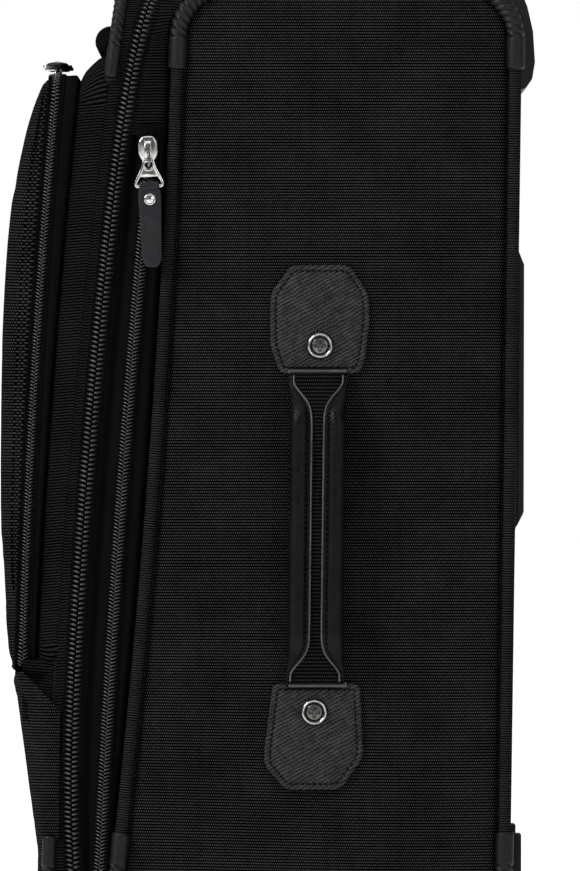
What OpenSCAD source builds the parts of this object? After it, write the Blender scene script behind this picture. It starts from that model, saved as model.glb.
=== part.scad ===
// Softside upright suitcase on two wheels, with a hinged lid, a front pocket,
// a tapered expansion section and a two-stage trolley handle.
// +X is the side with the carry handle, -Y the front, +Z up.
// The origin is on the floor, in the middle of the footprint.

/* [Case] */
// Half width over the side boards
board_x = 174; // [168:1:174]
// Height of the lower piping above the floor
case_z0 = 48; // [47:1:50]
// Height of the upper piping above the floor
case_z1 = 548; // [546:1:550]
// Radius of the upper corners of the side panels
upper_r = 27; // [24:1:30]
// Radius of the lower corners of the side panels
lower_r = 35; // [30:1:38]
// Thickness of the board that stiffens the case
board_t = 2.5; // [1.5:0.1:2.5]

/* [Lid] */
// Radius of the corners of the lid and its zip
lid_r = 36; // [30:1:40]
// Half width of the front pocket
pocket_x = 166; // [150:1:168]
// Height of the pocket's lower edge
pocket_z0 = 192; // [192:1:200]
// Height of the pocket's upper edge
pocket_z1 = 500; // [494:1:502]
// Height of the upper end of the expansion zip
expansion_z1 = 470; // [440:1:475]

/* [Wheels] */
// Radius of the wheels
wheel_r = 35; // [32:0.5:35]
// Width of the wheels
wheel_w = 22; // [18:1:22]
// Distance of the wheels from the middle
wheel_x = 150; // [148:1:150]
// Distance of the axle behind the middle
wheel_y = 108; // [104:1:108]
// Radius of the axle
axle_r = 3; // [2.5:0.5:4]

/* [Handles] */
// Height of the middle of the side handle
side_handle_z = 266; // [255:1:280]
// Distance of the side handle behind the middle
side_handle_y = 18.5; // [10:0.5:25]
// Distance of the trolley tubes from the middle
tube_x = 60; // [50:1:64]
// Distance of the trolley tubes behind the middle
tube_y = 100.5; // [100:0.5:101]

/* [Hidden] */
$fn = 48;
gap = 0.2;
steps = 16;
tape_x = board_x + 7;
band_x = board_x + 4;
panel_x = board_x + 4.2;
ring_z0 = case_z0 - 2;
ring_z1 = case_z1 + 4;

// Share of the way down the case, 0 at the upper piping and 1 at the lower.
function down(z) = max(0, (case_z1 - 1 - z) / (case_z1 - case_z0 - 3));

// Lines that run down the side of the case: y as a function of height.
front_edge = function(z) -52.5 - 16 * down(z) - 21.2 * pow(down(z), 2);
expansion_line = function(z) -59 - 54 * down(z) + 17 * pow(down(z), 2);
main_line = function(z) -60.5 - 56.5 * sqrt(down(z)) + 13 * pow(down(z), 8);
lid_edge = function(z) -82.5 - 66.9 * down(z) + 27.3 * pow(down(z), 2);
back_edge = function(z) 115.5 + 7 * (z - case_z0) / (case_z1 - case_z0);

// Share of the way down the pocket, and the two faces of its padded front.
function pocket_down(z) = (pocket_z1 - z) / (pocket_z1 - pocket_z0);
pocket_line = function(z) -116.5 - 28 * pocket_down(z) + 10 * pow(pocket_down(z), 2);
pocket_face = function(z) z > 300
    ? -143.8 + 18.5 * pow((z - 300) / 200, 3)
    : -143.8 + 5.3 * pow((300 - z) / 108, 2);
lower_face = function(z) min(-138.3 + 0.135 * (pocket_z0 - z), lid_edge(z) - 5);

// Points of an arc about [y, z].
function arc(y, z, r, from, to) =
    [for (i = [0:6]) [y + r * cos(from + (to - from) * i / 6), z + r * sin(from + (to - from) * i / 6)]];

// Outline of a side panel's piping, grown outwards by g.
function side_outline(g) = let(zl = case_z0 + lower_r, zu = case_z1 - upper_r) concat(
    [for (i = [0:steps]) let(z = zl + (zu - zl) * i / steps) [front_edge(z) - g, z]],
    arc(front_edge(zu) + upper_r, zu, upper_r + g, 180, 90),
    arc(back_edge(zu) - upper_r, zu, upper_r + g, 90, 0),
    arc(back_edge(zl) - lower_r, zl, lower_r + g, 0, -90),
    arc(front_edge(zl) + lower_r, zl, lower_r + g, -90, -180)
);

// Outline of the tub, whose front edge is cut along the lid, reach mm before the piping.
function tub_outline(g, reach) = let(z0 = case_z0 - g, z1 = case_z1 + g) concat(
    [for (i = [0:steps]) let(z = z0 + (z1 - z0) * i / steps) [front_edge(z) - reach, z]],
    arc(back_edge(case_z1 - upper_r) - upper_r, case_z1 - upper_r, upper_r + g, 90, 0),
    arc(back_edge(case_z0 + lower_r) - lower_r, case_z0 + lower_r, lower_r + g, 0, -90)
);

// Extrudes a drawing of [y, z] across the case.
module across(width) {
    rotate([90, 0, 90]) linear_extrude(width, center = true) children();
}

// Extrudes a drawing of [x, z] from y0 to y1.
module along(y0, y1) {
    translate([0, y1, 0]) rotate([90, 0, 0]) linear_extrude(y1 - y0) children();
}

module both_sides() {
    children();
    mirror([1, 0, 0]) children();
}

// Rounded rectangle of half width x from z0 to z1.
module frame_outline(x, z0, z1, r) {
    translate([-x, z0 + r]) square([2 * x, z1 - z0 - 2 * r]);
    translate([r - x, z0]) square([2 * (x - r), z1 - z0]);
    for (sx = [-1, 1], z = [z0 + r, z1 - r]) translate([sx * (x - r), z]) circle(r);
}

module frame_ring(x, t, z0, z1, r) {
    difference() {
        frame_outline(x, z0, z1, r);
        frame_outline(x - t, z0 + t, z1 - t, r - t);
    }
}

// Heights at which the lines are drawn, closer together near the top, where they curve most.
slice_z = [for (i = [0:steps]) ring_z1 + 8 - (ring_z1 - ring_z0 + 16) * pow(i / steps, 1.7)];

// The slice of the case between two of its lines, from z0 to z1.
module slice(rear, front, z0 = 0, z1 = 600) {
    intersection() {
        across(500) polygon(concat(
            [for (i = [0:steps]) [rear(slice_z[i]), slice_z[i]]],
            [for (i = [steps:-1:0]) [front(slice_z[i]), slice_z[i]]]
        ));
        box([-260, -300, z0], [260, 300, z1]);
    }
}

// A ring around the front of the case between two of its lines.
module band(rear, front, x, t, r, z0 = 0, z1 = 600) {
    grow = x - band_x;
    intersection() {
        along(-160, -30) frame_ring(x, t, ring_z0 - grow, ring_z1 + grow, r + grow);
        slice(rear, front, z0, z1);
    }
}

module box(low, high) {
    translate(low) cube(high - low);
}

module rod(from, length, r, axis) {
    turn = axis == "x" ? [0, 90, 0] : axis == "y" ? [-90, 0, 0] : [0, 0, 0];
    translate(from) rotate(turn) cylinder(h = length, r = r);
}

// ---- the case ----

module tub(g, inner_x, reach) {
    across(2 * inner_x) polygon(tub_outline(g, reach));
}

// Room for a wheel and its housing in the lower rear corners.
module wheel_wells(grow = 0) {
    both_sides() box([wheel_x - 21 - grow, 60 - grow, 0], [wheel_x + 21 + grow, 160, 84 + grow]);
}

// The board that wraps the top, back and bottom; the side boards are in the side panels.
module shell_board() {
    color("dimgray") difference() {
        tub(-4.2, board_x - board_t - gap, 4);
        difference() {
            tub(-4.2 - board_t, board_x + 1, 40);
            wheel_wells(2);
        }
        wheel_wells();
        both_sides() box([tube_x - 12, tube_y - 8, 530], [tube_x + 12, tube_y + 8, 560]);
    }
}

module lining() {
    outer = -4.2 - board_t - gap;
    color("darkgray") difference() {
        tub(outer, board_x - board_t - gap, 3.5);
        difference() {
            tub(outer - 1.2, board_x - board_t - gap - 1.2, 40);
            wheel_wells(3.4);
        }
        wheel_wells(2 + gap);
        box([-100, 91.6, 0], [100, 160, 600]);
    }
}

module tube_cover() {
    color("gray") intersection() {
        box([-board_x, 90, 0], [board_x, 91.4, 600]);
        difference() {
            tub(-4.2 - board_t - 1.8, board_x - board_t - 1.8, 4);
            wheel_wells(3.8);
        }
    }
}

// A stiffening board with its foam and fabric.
module side_panel() {
    translate([board_x - board_t / 2, 0, 0]) across(board_t) polygon(side_outline(-4.4));
    translate([(board_x + panel_x) / 2, 0, 0]) across(panel_x - board_x) polygon(side_outline(-4.2));
}

module side_panel_right() {
    color([0.1, 0.1, 0.1]) side_panel();
}

module side_panel_left() {
    color([0.1, 0.1, 0.1]) mirror([1, 0, 0]) side_panel();
}

// The outer fabric that wraps the tub's top, back and bottom.
module wrap(low_z, high_z) {
    difference() {
        tub(-1.6, board_x - 3 * gap, 4);
        tub(-4, board_x + 1, 50);
        wheel_wells();
        box([-200, -200, -10], [200, 200, low_z]);
        box([-200, -200, high_z], [200, 200, 700]);
    }
}

module top_panel() {
    color([0.12, 0.12, 0.12]) difference() {
        wrap(case_z1 - upper_r, 600);
        both_sides() box([tube_x - 12, tube_y - 8, 530], [tube_x + 12, tube_y + 8, 560]);
    }
}

module back_panel() {
    color([0.12, 0.12, 0.12]) wrap(case_z0 + lower_r, case_z1 - upper_r - gap);
}

module bottom_panel() {
    color([0.12, 0.12, 0.12]) wrap(0, case_z0 + lower_r - gap);
}

// Corners of the piping that carry a rope-shaped guard.
module side_corners() {
    box([0, -100, case_z1 - 44], [200, front_edge(case_z1) + 30, 600]);
    box([0, 90, case_z1 - 44], [200, 160, 600]);
    box([0, -100, 0], [200, -45, case_z0 + 60]);
    box([0, 78, 0], [200, 160, case_z0 + 60]);
}

module piping_loop(half) {
    translate([board_x + 4.2, 0, 0]) difference() {
        across(7.6) polygon(side_outline(half));
        across(9) polygon(side_outline(-half));
    }
}

module piping() {
    difference() {
        piping_loop(4);
        side_corners();
    }
}

module corner_guards() {
    intersection() {
        piping_loop(4);
        side_corners();
    }
}

module piping_right() {
    color([0.09, 0.09, 0.09]) piping();
}

module piping_left() {
    color([0.09, 0.09, 0.09]) mirror([1, 0, 0]) piping();
}

module corner_guards_right() {
    color([0.05, 0.05, 0.05]) corner_guards();
}

module corner_guards_left() {
    color([0.05, 0.05, 0.05]) mirror([1, 0, 0]) corner_guards();
}

module front_band() {
    rear = function(z) front_edge(z) - 4.3;
    front = function(z) expansion_line(z) + gap;
    color([0.14, 0.14, 0.14]) band(rear, front, band_x, 3, lid_r);
}

module expansion_zip_body() {
    rear = function(z) min(expansion_line(z) + 4, front_edge(z) - 4.4);
    front = function(z) expansion_line(z) + gap;
    color([0.2, 0.2, 0.2])
        band(rear, front, tape_x - gap, 2.6, lid_r, 0, expansion_z1);
}

module expansion_gusset() {
    rear = function(z) front_edge(z) - 4.3;
    front = function(z) expansion_line(z) + gap;
    color([0.16, 0.16, 0.16])
        band(rear, front, band_x - 3.2, 1, lid_r, 0, expansion_z1);
}

// Two straps across the packing side, each with a clip in the middle.
module tie_straps() {
    color([0.25, 0.25, 0.25]) for (z = [210, 380]) {
        both_sides() box([18.4, 88.4, z - 12], [board_x - board_t - 2, 89.6, z + 12]);
    }
}

module strap_buckles() {
    color("black") for (z = [210, 380]) {
        difference() {
            box([-18, 81, z - 16], [18, 89.6, z + 16]);
            both_sides() box([10, 80, z - 12.5], [14, 90, z + 12.5]);
        }
    }
}

// ---- handles ----

// Outline of an upper handle patch, w wide and h high, with its strap end at the foot.
function patch_outline(w, h) = [
    [-0.42 * w, 0], [0.32 * w, 0], [0.42 * w, 0.11 * h], [0.5 * w, 0.48 * h], [0.47 * w, 0.84 * h],
    [0.30 * w, h], [-0.30 * w, h], [-0.5 * w, 0.80 * h], [-0.5 * w, 0.25 * h]
];
patch_w = 52;
patch_h = 56;
patch_t = 3;
handle_half = 80.5;
screw_in = 14.5;
top_handle_half = 84;
top_handle_y = 26;
top_z = case_z1 - 1.4;

module patch() {
    linear_extrude(patch_t) polygon(patch_outline(patch_w, patch_h));
}

// Stands a patch drawing on the right side, its foot towards the handle's middle.
module on_side(direction) {
    translate([panel_x + gap, side_handle_y, side_handle_z + direction * handle_half])
        rotate([90, 0, 90]) mirror([0, direction > 0 ? 0 : 1, 0]) children();
}

module on_top(direction) {
    translate([direction * top_handle_half, top_handle_y, top_z]) rotate([0, 0, -90 * direction]) children();
}

module handle_patches() {
    color([0.17, 0.17, 0.17]) difference() {
        for (d = [-1, 1]) {
            on_side(d) patch();
            on_top(d) patch();
        }
        for (d = [-1, 1]) {
            on_side(d) translate([0, screw_in, -1]) cylinder(h = 6, r = 2.5);
            on_top(d) translate([0, screw_in, -1]) cylinder(h = 6, r = 2.5);
        }
    }
}

// A pan-head screw in a cup washer.
module screw() {
    translate([0, screw_in, 0]) {
        cylinder(h = patch_t, r = 2.4);
        translate([0, 0, patch_t + 0.1]) cylinder(h = 1.4, r1 = 7, r2 = 6);
        translate([0, 0, patch_t - 0.5]) cylinder(h = 1, r = 2.4);
        translate([0, 0, patch_t + 1.4]) cylinder(h = 1.4, r = 4);
    }
}

module handle_screws() {
    color("silver") for (d = [-1, 1]) {
        on_side(d) screw();
        on_top(d) screw();
    }
}

// Side view of a grip: a bar that stands off the case, with its ends turned in.
module grip_bar(half, w, lift, t) {
    rotate([90, 0, 0]) translate([0, 0, -w / 2]) linear_extrude(w) polygon([
        [-half, 3.6], [-half, 7], [8 - half, lift + 3], [22 - half, lift + t], [half - 22, lift + t],
        [half - 8, lift + 3], [half, 7], [half, 3.6], [half - 9, 4.2], [half - 20, lift],
        [20 - half, lift], [9 - half, 4.2]
    ]);
}

module side_handle_grip() {
    color([0.11, 0.11, 0.11]) translate([panel_x, side_handle_y, side_handle_z])
        rotate([0, 90, 0]) grip_bar(handle_half - 0.5, 31, 9, 12.5);
}

module top_handle_grip() {
    color([0.11, 0.11, 0.11]) translate([0, top_handle_y, top_z - 0.2])
        grip_bar(top_handle_half - 0.5, 31, 9, 12.5);
}

// ---- trolley ----

bezel_z = case_z1 + 7;
tube_z0 = 86;

module tube_pair(w, d, wall, z0, z1) {
    both_sides() translate([tube_x, tube_y, z0]) difference() {
        translate([-w / 2, -d / 2, 0]) cube([w, d, z1 - z0]);
        translate([wall - w / 2, wall - d / 2, -1]) cube([w - 2 * wall, d - 2 * wall, z1 - z0 + 2]);
    }
}

module trolley_bezel() {
    color([0.08, 0.08, 0.08]) difference() {
        across(184) polygon([
            [84, case_z1 - 2], [84, bezel_z - 3], [88, bezel_z], [116, bezel_z], [124, bezel_z - 4],
            [129, case_z1 - 9], [132, case_z1 - 22], [133, case_z1 - 38], [131.6, case_z1 - 47],
            [128, case_z1 - 52], [119, case_z1 - 54]
        ]);
        tub(-1.4, board_x, 4);
        box([-73, tube_y - 11.5, bezel_z - 6], [73, tube_y + 11.5, bezel_z + 1]);
        both_sides() box([tube_x - 11.2, tube_y - 7.2, 540], [tube_x + 11.2, tube_y + 7.2, 560]);
    }
}

module trolley_outer_tubes() {
    color("dimgray") {
        tube_pair(22, 14, 1, tube_z0, bezel_z - 7);
        both_sides() box([tube_x - 13, tube_y - 7.5, tube_z0 - 6], [tube_x + 13, tube_y + 7.5, tube_z0]);
    }
}

module trolley_middle_tubes() {
    color("silver") tube_pair(19.4, 11.4, 1, tube_z0 + 4, bezel_z - 6.6);
}

module trolley_inner_tubes() {
    color("silver") tube_pair(16.8, 8.8, 1, tube_z0 + 8, bezel_z - 3.6);
}

module trolley_grip() {
    color([0.07, 0.07, 0.07]) difference() {
        union() {
            box([-71.5, tube_y - 10, bezel_z - 3.6], [71.5, tube_y + 10, bezel_z + 12]);
            for (s = [-1, 1]) {
                rod([-71.5, tube_y + s * 6, bezel_z + 12], 143, 4, "x");
            }
            box([-71.5, tube_y - 6, bezel_z + 11], [71.5, tube_y + 6, bezel_z + 16]);
        }
        box([-14.3, tube_y - 5.3, bezel_z + 10], [14.3, tube_y + 5.3, bezel_z + 20]);
    }
}

module trolley_button() {
    color([0.3, 0.3, 0.3]) box([-14, tube_y - 5, bezel_z + 13.4], [14, tube_y + 5, bezel_z + 17.6]);
}

// ---- back, feet and wheels ----

module skid_rails() {
    foot = function(z, rise) [back_edge(z) - 1.3 + rise, z];
    color([0.08, 0.08, 0.08]) both_sides() {
        translate([tube_x, 0, 0]) across(26) polygon([
            foot(262, 0), foot(258, 1.5), foot(266, 6), foot(412, 5), foot(420, 1.5), foot(416, 0)
        ]);
        translate([tube_x, 0, 0]) across(14) polygon([
            foot(266, 6.1), foot(274, 10), foot(404, 8.4), foot(412, 5.1)
        ]);
    }
}

// One housing: a block with two cheeks about the axle, open below and behind.
module wheel_housing() {
    cheek = wheel_w / 2 + 9;
    difference() {
        union() {
            box([wheel_x - cheek, 61, 46], [wheel_x + cheek, 118, 83.6]);
            rod([wheel_x - cheek, wheel_y, wheel_r], 2 * cheek, 15, "x");
            box([wheel_x - cheek, 114, 60], [wheel_x + cheek, 118, 83.6]);
            box([wheel_x - cheek, 117.2, 60], [wheel_x + cheek, 125, 107]);
        }
        rod([wheel_x - wheel_w / 2 - 1.5, wheel_y, wheel_r], wheel_w + 3, wheel_r + 3, "x");
        rod([wheel_x - cheek - 1, wheel_y, wheel_r], 2 * cheek + 2, axle_r, "x");
    }
}

module wheel_housings() {
    color([0.1, 0.1, 0.1]) both_sides() wheel_housing();
}

module kick_plate() {
    color([0.09, 0.09, 0.09]) across(2 * (wheel_x - 21)) polygon([
        [60, case_z0 - 4], [100, case_z0 - 4], [110, case_z0], [119, case_z0 + 12],
        [121.5, case_z0 + 30], [121.5, 97], [118.2, 100], [117.2, 97],
        [116, case_z0 + 30], [112, case_z0 + 16], [104, case_z0 + 6], [94, case_z0 + 1], [60, case_z0]
    ]);
}

module wheel_axles() {
    color("silver") both_sides() {
        rod([wheel_x - wheel_w / 2 - 9, wheel_y, wheel_r], wheel_w + 18, axle_r, "x");
    }
}

module hub() {
    difference() {
        union() {
            rod([wheel_x - wheel_w / 2 + 1, wheel_y, wheel_r], wheel_w - 2, 24, "x");
            rod([wheel_x - wheel_w / 2 - 1, wheel_y, wheel_r], wheel_w + 2, 8, "x");
        }
        rod([wheel_x - wheel_w, wheel_y, wheel_r], 2 * wheel_w, axle_r + 0.05, "x");
    }
}

module tyre() {
    half = wheel_w / 2;
    translate([wheel_x, wheel_y, wheel_r]) rotate([0, 90, 0]) rotate_extrude() polygon([
        [24, -half], [30, -half], [wheel_r - 1.5, -half + 3], [wheel_r, -half + 7],
        [wheel_r, half - 7], [wheel_r - 1.5, half - 3], [30, half], [24, half]
    ]);
}

module wheel_hub_right() {
    color([0.3, 0.3, 0.3]) hub();
}

module wheel_hub_left() {
    color([0.3, 0.3, 0.3]) mirror([1, 0, 0]) hub();
}

module wheel_tyre_right() {
    color([0.12, 0.12, 0.12]) tyre();
}

module wheel_tyre_left() {
    color([0.12, 0.12, 0.12]) mirror([1, 0, 0]) tyre();
}

module front_feet() {
    color([0.08, 0.08, 0.08]) both_sides() translate([126, 0, 0]) across(40) polygon([
        [-76, 0], [-58, 0], [-48, case_z0 - 6.4], [-48, case_z0 - 0.4], [-86, case_z0 - 0.4],
        [-86, case_z0 - 8], [-80, 4]
    ]);
}

module side_feet() {
    color([0.08, 0.08, 0.08]) for (y = [-10, 86], z = [120, 440]) {
        translate([-panel_x - gap, y, z]) rotate([0, -90, 0]) {
            cylinder(h = 12, r1 = 15, r2 = 12.5);
            translate([0, 0, 12]) cylinder(h = 3.6, r1 = 12.5, r2 = 9);
        }
    }
}

// ---- the expansion frame ----

module front_frame() {
    rear = function(z) expansion_line(z) - gap;
    front = function(z) main_line(z) + gap;
    color([0.14, 0.14, 0.14]) band(rear, front, band_x, 3, lid_r);
}

module expansion_zip_front() {
    rear = function(z) expansion_line(z) - gap;
    front = function(z) expansion_line(z) - 3.6;
    color([0.2, 0.2, 0.2])
        band(rear, front, tape_x - gap, 2.6, lid_r, 0, expansion_z1);
}

module main_zip_body() {
    rear = function(z) main_line(z) + 4.8;
    front = function(z) main_line(z) + gap;
    color([0.2, 0.2, 0.2]) band(rear, front, tape_x, 2.8, lid_r, 66);
}

// ---- the lid ----

module lid_panel() {
    rear = function(z) main_line(z) - gap;
    shoulder = function(z) lid_edge(z) + 3.8;
    face = function(z) lid_edge(z);
    outside = function(z) lid_edge(z) - 3;
    color("dimgray") {
        band(rear, shoulder, band_x, 5.2, lid_r);
        band(rear, outside, band_x - 2.7, 2.5, lid_r);
        intersection() {
            along(-160, -30) frame_outline(band_x - 2.8, ring_z0 + 2.8, ring_z1 - 2.8, lid_r - 2.8);
            slice(face, outside);
        }
    }
}

module lid_lining() {
    rear = function(z) lid_edge(z) + 1.4;
    face = function(z) lid_edge(z) + gap;
    color("darkgray") intersection() {
        along(-160, -30) frame_outline(band_x - 5.4, ring_z0 + 5.4, ring_z1 - 5.4, lid_r - 5.4);
        slice(rear, face);
    }
}

module lid_corners() {
    both_sides() {
        box([136, -200, case_z1 - 36], [300, 0, 600]);
        box([136, -200, 0], [300, 0, case_z0 + 43]);
    }
}

module lid_piping_ring() {
    rear = function(z) lid_edge(z) + 3.6;
    front = function(z) lid_edge(z) - 3.4;
    band(rear, front, band_x + 3.6, 6, lid_r);
}

module lid_piping() {
    color([0.09, 0.09, 0.09]) difference() {
        lid_piping_ring();
        lid_corners();
    }
}

module lid_corner_guards() {
    color([0.05, 0.05, 0.05]) intersection() {
        lid_piping_ring();
        lid_corners();
    }
}

module main_zip_lid() {
    rear = function(z) main_line(z) - gap;
    front = function(z) main_line(z) - 4.8;
    color([0.2, 0.2, 0.2]) band(rear, front, tape_x, 2.8, lid_r, 66);
}

module front_welt() {
    color([0.13, 0.13, 0.13]) intersection() {
        rod([-150, -89.5, 520], 300, 7, "x");
        box([-160, -120, 500], [160, -90.6, 540]);
    }
}

module lid_lower_panel() {
    rear = function(z) lid_edge(z) - 3.2;
    color([0.12, 0.12, 0.12]) intersection() {
        along(-160, -30) frame_outline(band_x - 6, ring_z0 + 12, pocket_z0 - 0.6, 20);
        slice(rear, lower_face);
    }
}

module pocket_gusset() {
    rear = function(z) lid_edge(z) - 3.2;
    front = function(z) pocket_line(z) + gap;
    color([0.13, 0.13, 0.13]) intersection() {
        along(-160, -30) frame_ring(pocket_x, 2, pocket_z0, pocket_z1, 14);
        slice(rear, front);
    }
}

// ---- the pocket's front ----

module pocket_panel() {
    rear = function(z) pocket_line(z) - gap;
    color([0.12, 0.12, 0.12]) intersection() {
        along(-160, -30) frame_outline(pocket_x, pocket_z0 + gap, pocket_z1, 14);
        slice(rear, pocket_face);
    }
}

// Blank badge on the pocket.
module front_plate() {
    rear = function(z) pocket_face(z) - 0.1;
    front = function(z) pocket_face(z) - 2.6;
    color([0.1, 0.1, 0.1]) intersection() {
        along(-160, -30) frame_outline(32, 406, 455, 5);
        slice(rear, front);
    }
}

// ---- zip sliders and pulls ----

slider_l = 13;
slider_w = 9.4;
slider_t = 4.4;
pull_l = 53;
pull_w = 12;
pull_t = 2.4;

// A slider's body, lying flat: length along x, its foot on z = 0.
module slider() {
    difference() {
        union() {
            translate([-slider_l / 2, -slider_w / 2, 0]) cube([slider_l, slider_w, 2.4]);
            translate([-4, -1.6, 2.4]) cube([8, 3.2, slider_t - 2.4]);
        }
        translate([0, 0, slider_t - 1]) rotate([90, 0, 0]) translate([0, 0, -3]) cylinder(h = 6, r = 0.6);
    }
}

// A pull: a metal link and a tab with a rivet. It leaves its pivot along +x, flat on z = 0.
module pull() {
    difference() {
        union() {
            translate([-1.2, -4, 0]) cube([11.2, 8, pull_t]);
            translate([8, -pull_w / 2, 0]) cube([pull_l - 12, pull_w, pull_t]);
            translate([pull_l - 4, 0, 0]) cylinder(h = pull_t, r = pull_w / 2);
            translate([14, 0, 0]) cylinder(h = pull_t + 0.8, r = 3);
        }
        translate([0, -2, -1]) cube([5, 4, 5]);
    }
}

main_y = main_line(ring_z1);
main_slider_z = ring_z1 + 3.2;

module main_slider() {
    translate([16, main_y, main_slider_z]) slider();
}

module main_pull() {
    translate([16, main_y - 3, main_slider_z + slider_t + 0.6]) rotate([0, 0, -90]) pull();
}

module main_slider_right() {
    color("silver") main_slider();
}

module main_slider_left() {
    color("silver") mirror([1, 0, 0]) main_slider();
}

module main_pull_right() {
    color([0.2, 0.2, 0.2]) main_pull();
}

module main_pull_left() {
    color([0.2, 0.2, 0.2]) mirror([1, 0, 0]) main_pull();
}

pocket_slider_x = 22;
pocket_slider_y = pocket_line(pocket_z1) - 1;
pocket_slider_z = pocket_z1 + 2.4;

// The pocket's slider stands on a foot that runs in the zip.
module pocket_slider() {
    translate([pocket_slider_x, pocket_slider_y, pocket_slider_z]) {
        slider();
        translate([-3, -2, -2]) cube([6, 5, 2.1]);
    }
}

// The pocket's pull lies flat along the top, pointing away from the middle.
module pocket_pull() {
    translate([pocket_slider_x + 7, pocket_slider_y, pocket_slider_z + slider_t + 0.4]) pull();
}

module pocket_slider_right() {
    color("silver") pocket_slider();
}

module pocket_slider_left() {
    color("silver") mirror([1, 0, 0]) pocket_slider();
}

module pocket_pull_right() {
    color([0.2, 0.2, 0.2]) pocket_pull();
}

module pocket_pull_left() {
    color([0.2, 0.2, 0.2]) mirror([1, 0, 0]) pocket_pull();
}

slider_z = 463;
expansion_lean = 4.7;

module on_expansion(lift) {
    translate([tape_x + lift, expansion_line(slider_z), slider_z])
        rotate([expansion_lean, 0, 0]) rotate([0, 90, 0]) children();
}

module expansion_slider() {
    color("silver") on_expansion(0.3) slider();
}

module expansion_pull() {
    color([0.2, 0.2, 0.2]) on_expansion(slider_t + 0.4) translate([6.5, 0, 0]) pull();
}

shell_board();
lining();
tube_cover();
side_panel_right();
side_panel_left();
top_panel();
back_panel();
bottom_panel();
piping_right();
piping_left();
corner_guards_right();
corner_guards_left();
front_band();
expansion_zip_body();
expansion_gusset();
tie_straps();
strap_buckles();
handle_patches();
handle_screws();
trolley_bezel();
trolley_outer_tubes();
skid_rails();
wheel_housings();
kick_plate();
wheel_axles();
front_feet();
side_feet();
front_frame();
expansion_zip_front();
main_zip_body();
lid_panel();
lid_lining();
lid_piping();
lid_corner_guards();
main_zip_lid();
front_welt();
lid_lower_panel();
pocket_gusset();
pocket_panel();
front_plate();
main_slider_right();
main_slider_left();
main_pull_right();
main_pull_left();
pocket_slider_right();
pocket_slider_left();
pocket_pull_right();
pocket_pull_left();
expansion_slider();
expansion_pull();
trolley_middle_tubes();
trolley_inner_tubes();
trolley_grip();
trolley_button();
wheel_hub_right();
wheel_tyre_right();
wheel_hub_left();
wheel_tyre_left();
side_handle_grip();
top_handle_grip();
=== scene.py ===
"""Looks of a softside upright suitcase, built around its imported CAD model.

Points are worked out in millimetres in the row frame (+X side handle, -Y front, +Z up) and
turned into metres when a mesh is made. The lines that run down the case's side are the same
formulas as the CAD's, and the soft parts hang on them. Hard parts are rounded copies of CAD nodes.
"""
import math

import bpy
import bmesh
import numpy as np
from mathutils import Matrix, Vector


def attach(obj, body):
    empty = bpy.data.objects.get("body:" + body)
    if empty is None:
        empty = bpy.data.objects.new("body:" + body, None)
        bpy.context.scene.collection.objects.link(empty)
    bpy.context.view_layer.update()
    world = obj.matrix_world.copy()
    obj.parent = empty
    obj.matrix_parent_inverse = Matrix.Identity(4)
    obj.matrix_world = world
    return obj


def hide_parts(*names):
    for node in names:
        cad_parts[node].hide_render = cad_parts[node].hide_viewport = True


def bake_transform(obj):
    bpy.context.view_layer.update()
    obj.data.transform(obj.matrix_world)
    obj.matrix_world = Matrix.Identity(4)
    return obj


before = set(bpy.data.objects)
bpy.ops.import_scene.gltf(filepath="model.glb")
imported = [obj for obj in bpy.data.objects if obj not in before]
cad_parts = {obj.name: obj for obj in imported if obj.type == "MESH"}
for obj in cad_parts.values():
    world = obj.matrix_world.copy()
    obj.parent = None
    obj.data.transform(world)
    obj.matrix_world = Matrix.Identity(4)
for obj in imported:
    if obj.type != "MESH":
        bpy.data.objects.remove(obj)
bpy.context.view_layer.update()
MM = 0.001

# ---- driving sizes, in millimetres ----

CASE_TOP = 548.0          # middle of the upper piping
CASE_BOTTOM = 48.0        # middle of the lower piping
PIPE_X = 178.2            # middle of the side pipings
PIPE_CLOTH_R = 3.2
UPPER_R = 27.0
LOWER_R = 35.0
BEND_HIGH = CASE_TOP - UPPER_R         # where the upper and lower bends of the side panels start
BEND_LOW = CASE_BOTTOM + LOWER_R
LID_TOP = CASE_TOP + 4
LID_FOOT = CASE_BOTTOM - 2
RING_R = 36.0             # corners of the lid and its zips
BAND_X = 178.0
TAPE_X = 181.0
PANEL_X = 178.2
EXPANSION_TOP = 470.0
EXPANSION_SLIDER_Z = 463.0
ZIP_FOOT = 66.0
POCKET_X = 166.0
POCKET_LOW, POCKET_HIGH = 192.0, 500.0
POCKET_R = 14.0
HANDLE_Y, HANDLE_Z = 18.5, 266.0
TOP_HANDLE_Y = 26.0
PANEL_TOP = 546.6
WHEEL_X, WELL_HALF = 150.0, 21.5


# ---- the lines that run down the side: y as a function of height ----

def down(z):
    """Share of the way down the case, 0 at the upper piping and 1 at the lower."""
    return np.maximum(0.0, (CASE_TOP - 1 - z) / (CASE_TOP - CASE_BOTTOM - 3))


def front_edge(z):
    return -52.5 - 16 * down(z) - 21.2 * down(z) ** 2


def expansion_line(z):
    return -59 - 54 * down(z) + 17 * down(z) ** 2


def main_line(z):
    return -60.5 - 56.5 * np.sqrt(down(z)) + 13 * down(z) ** 8


def lid_edge(z):
    return -82.5 - 66.9 * down(z) + 27.3 * down(z) ** 2


def back_edge(z):
    return 115.5 + 7 * (z - CASE_BOTTOM) / (CASE_TOP - CASE_BOTTOM)


def pocket_line(z):
    v = (POCKET_HIGH - z) / (POCKET_HIGH - POCKET_LOW)
    return -116.5 - 28 * v + 10 * v ** 2


def pocket_face(z):
    high = np.clip((z - 300) / 200, 0, None)
    low = np.clip((300 - z) / 108, 0, None)
    return -143.8 + 18.5 * high ** 3 + 5.3 * low ** 2


def lower_face(z):
    return np.minimum(-138.3 + 0.135 * (POCKET_LOW - z), lid_edge(z) - 5)


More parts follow.
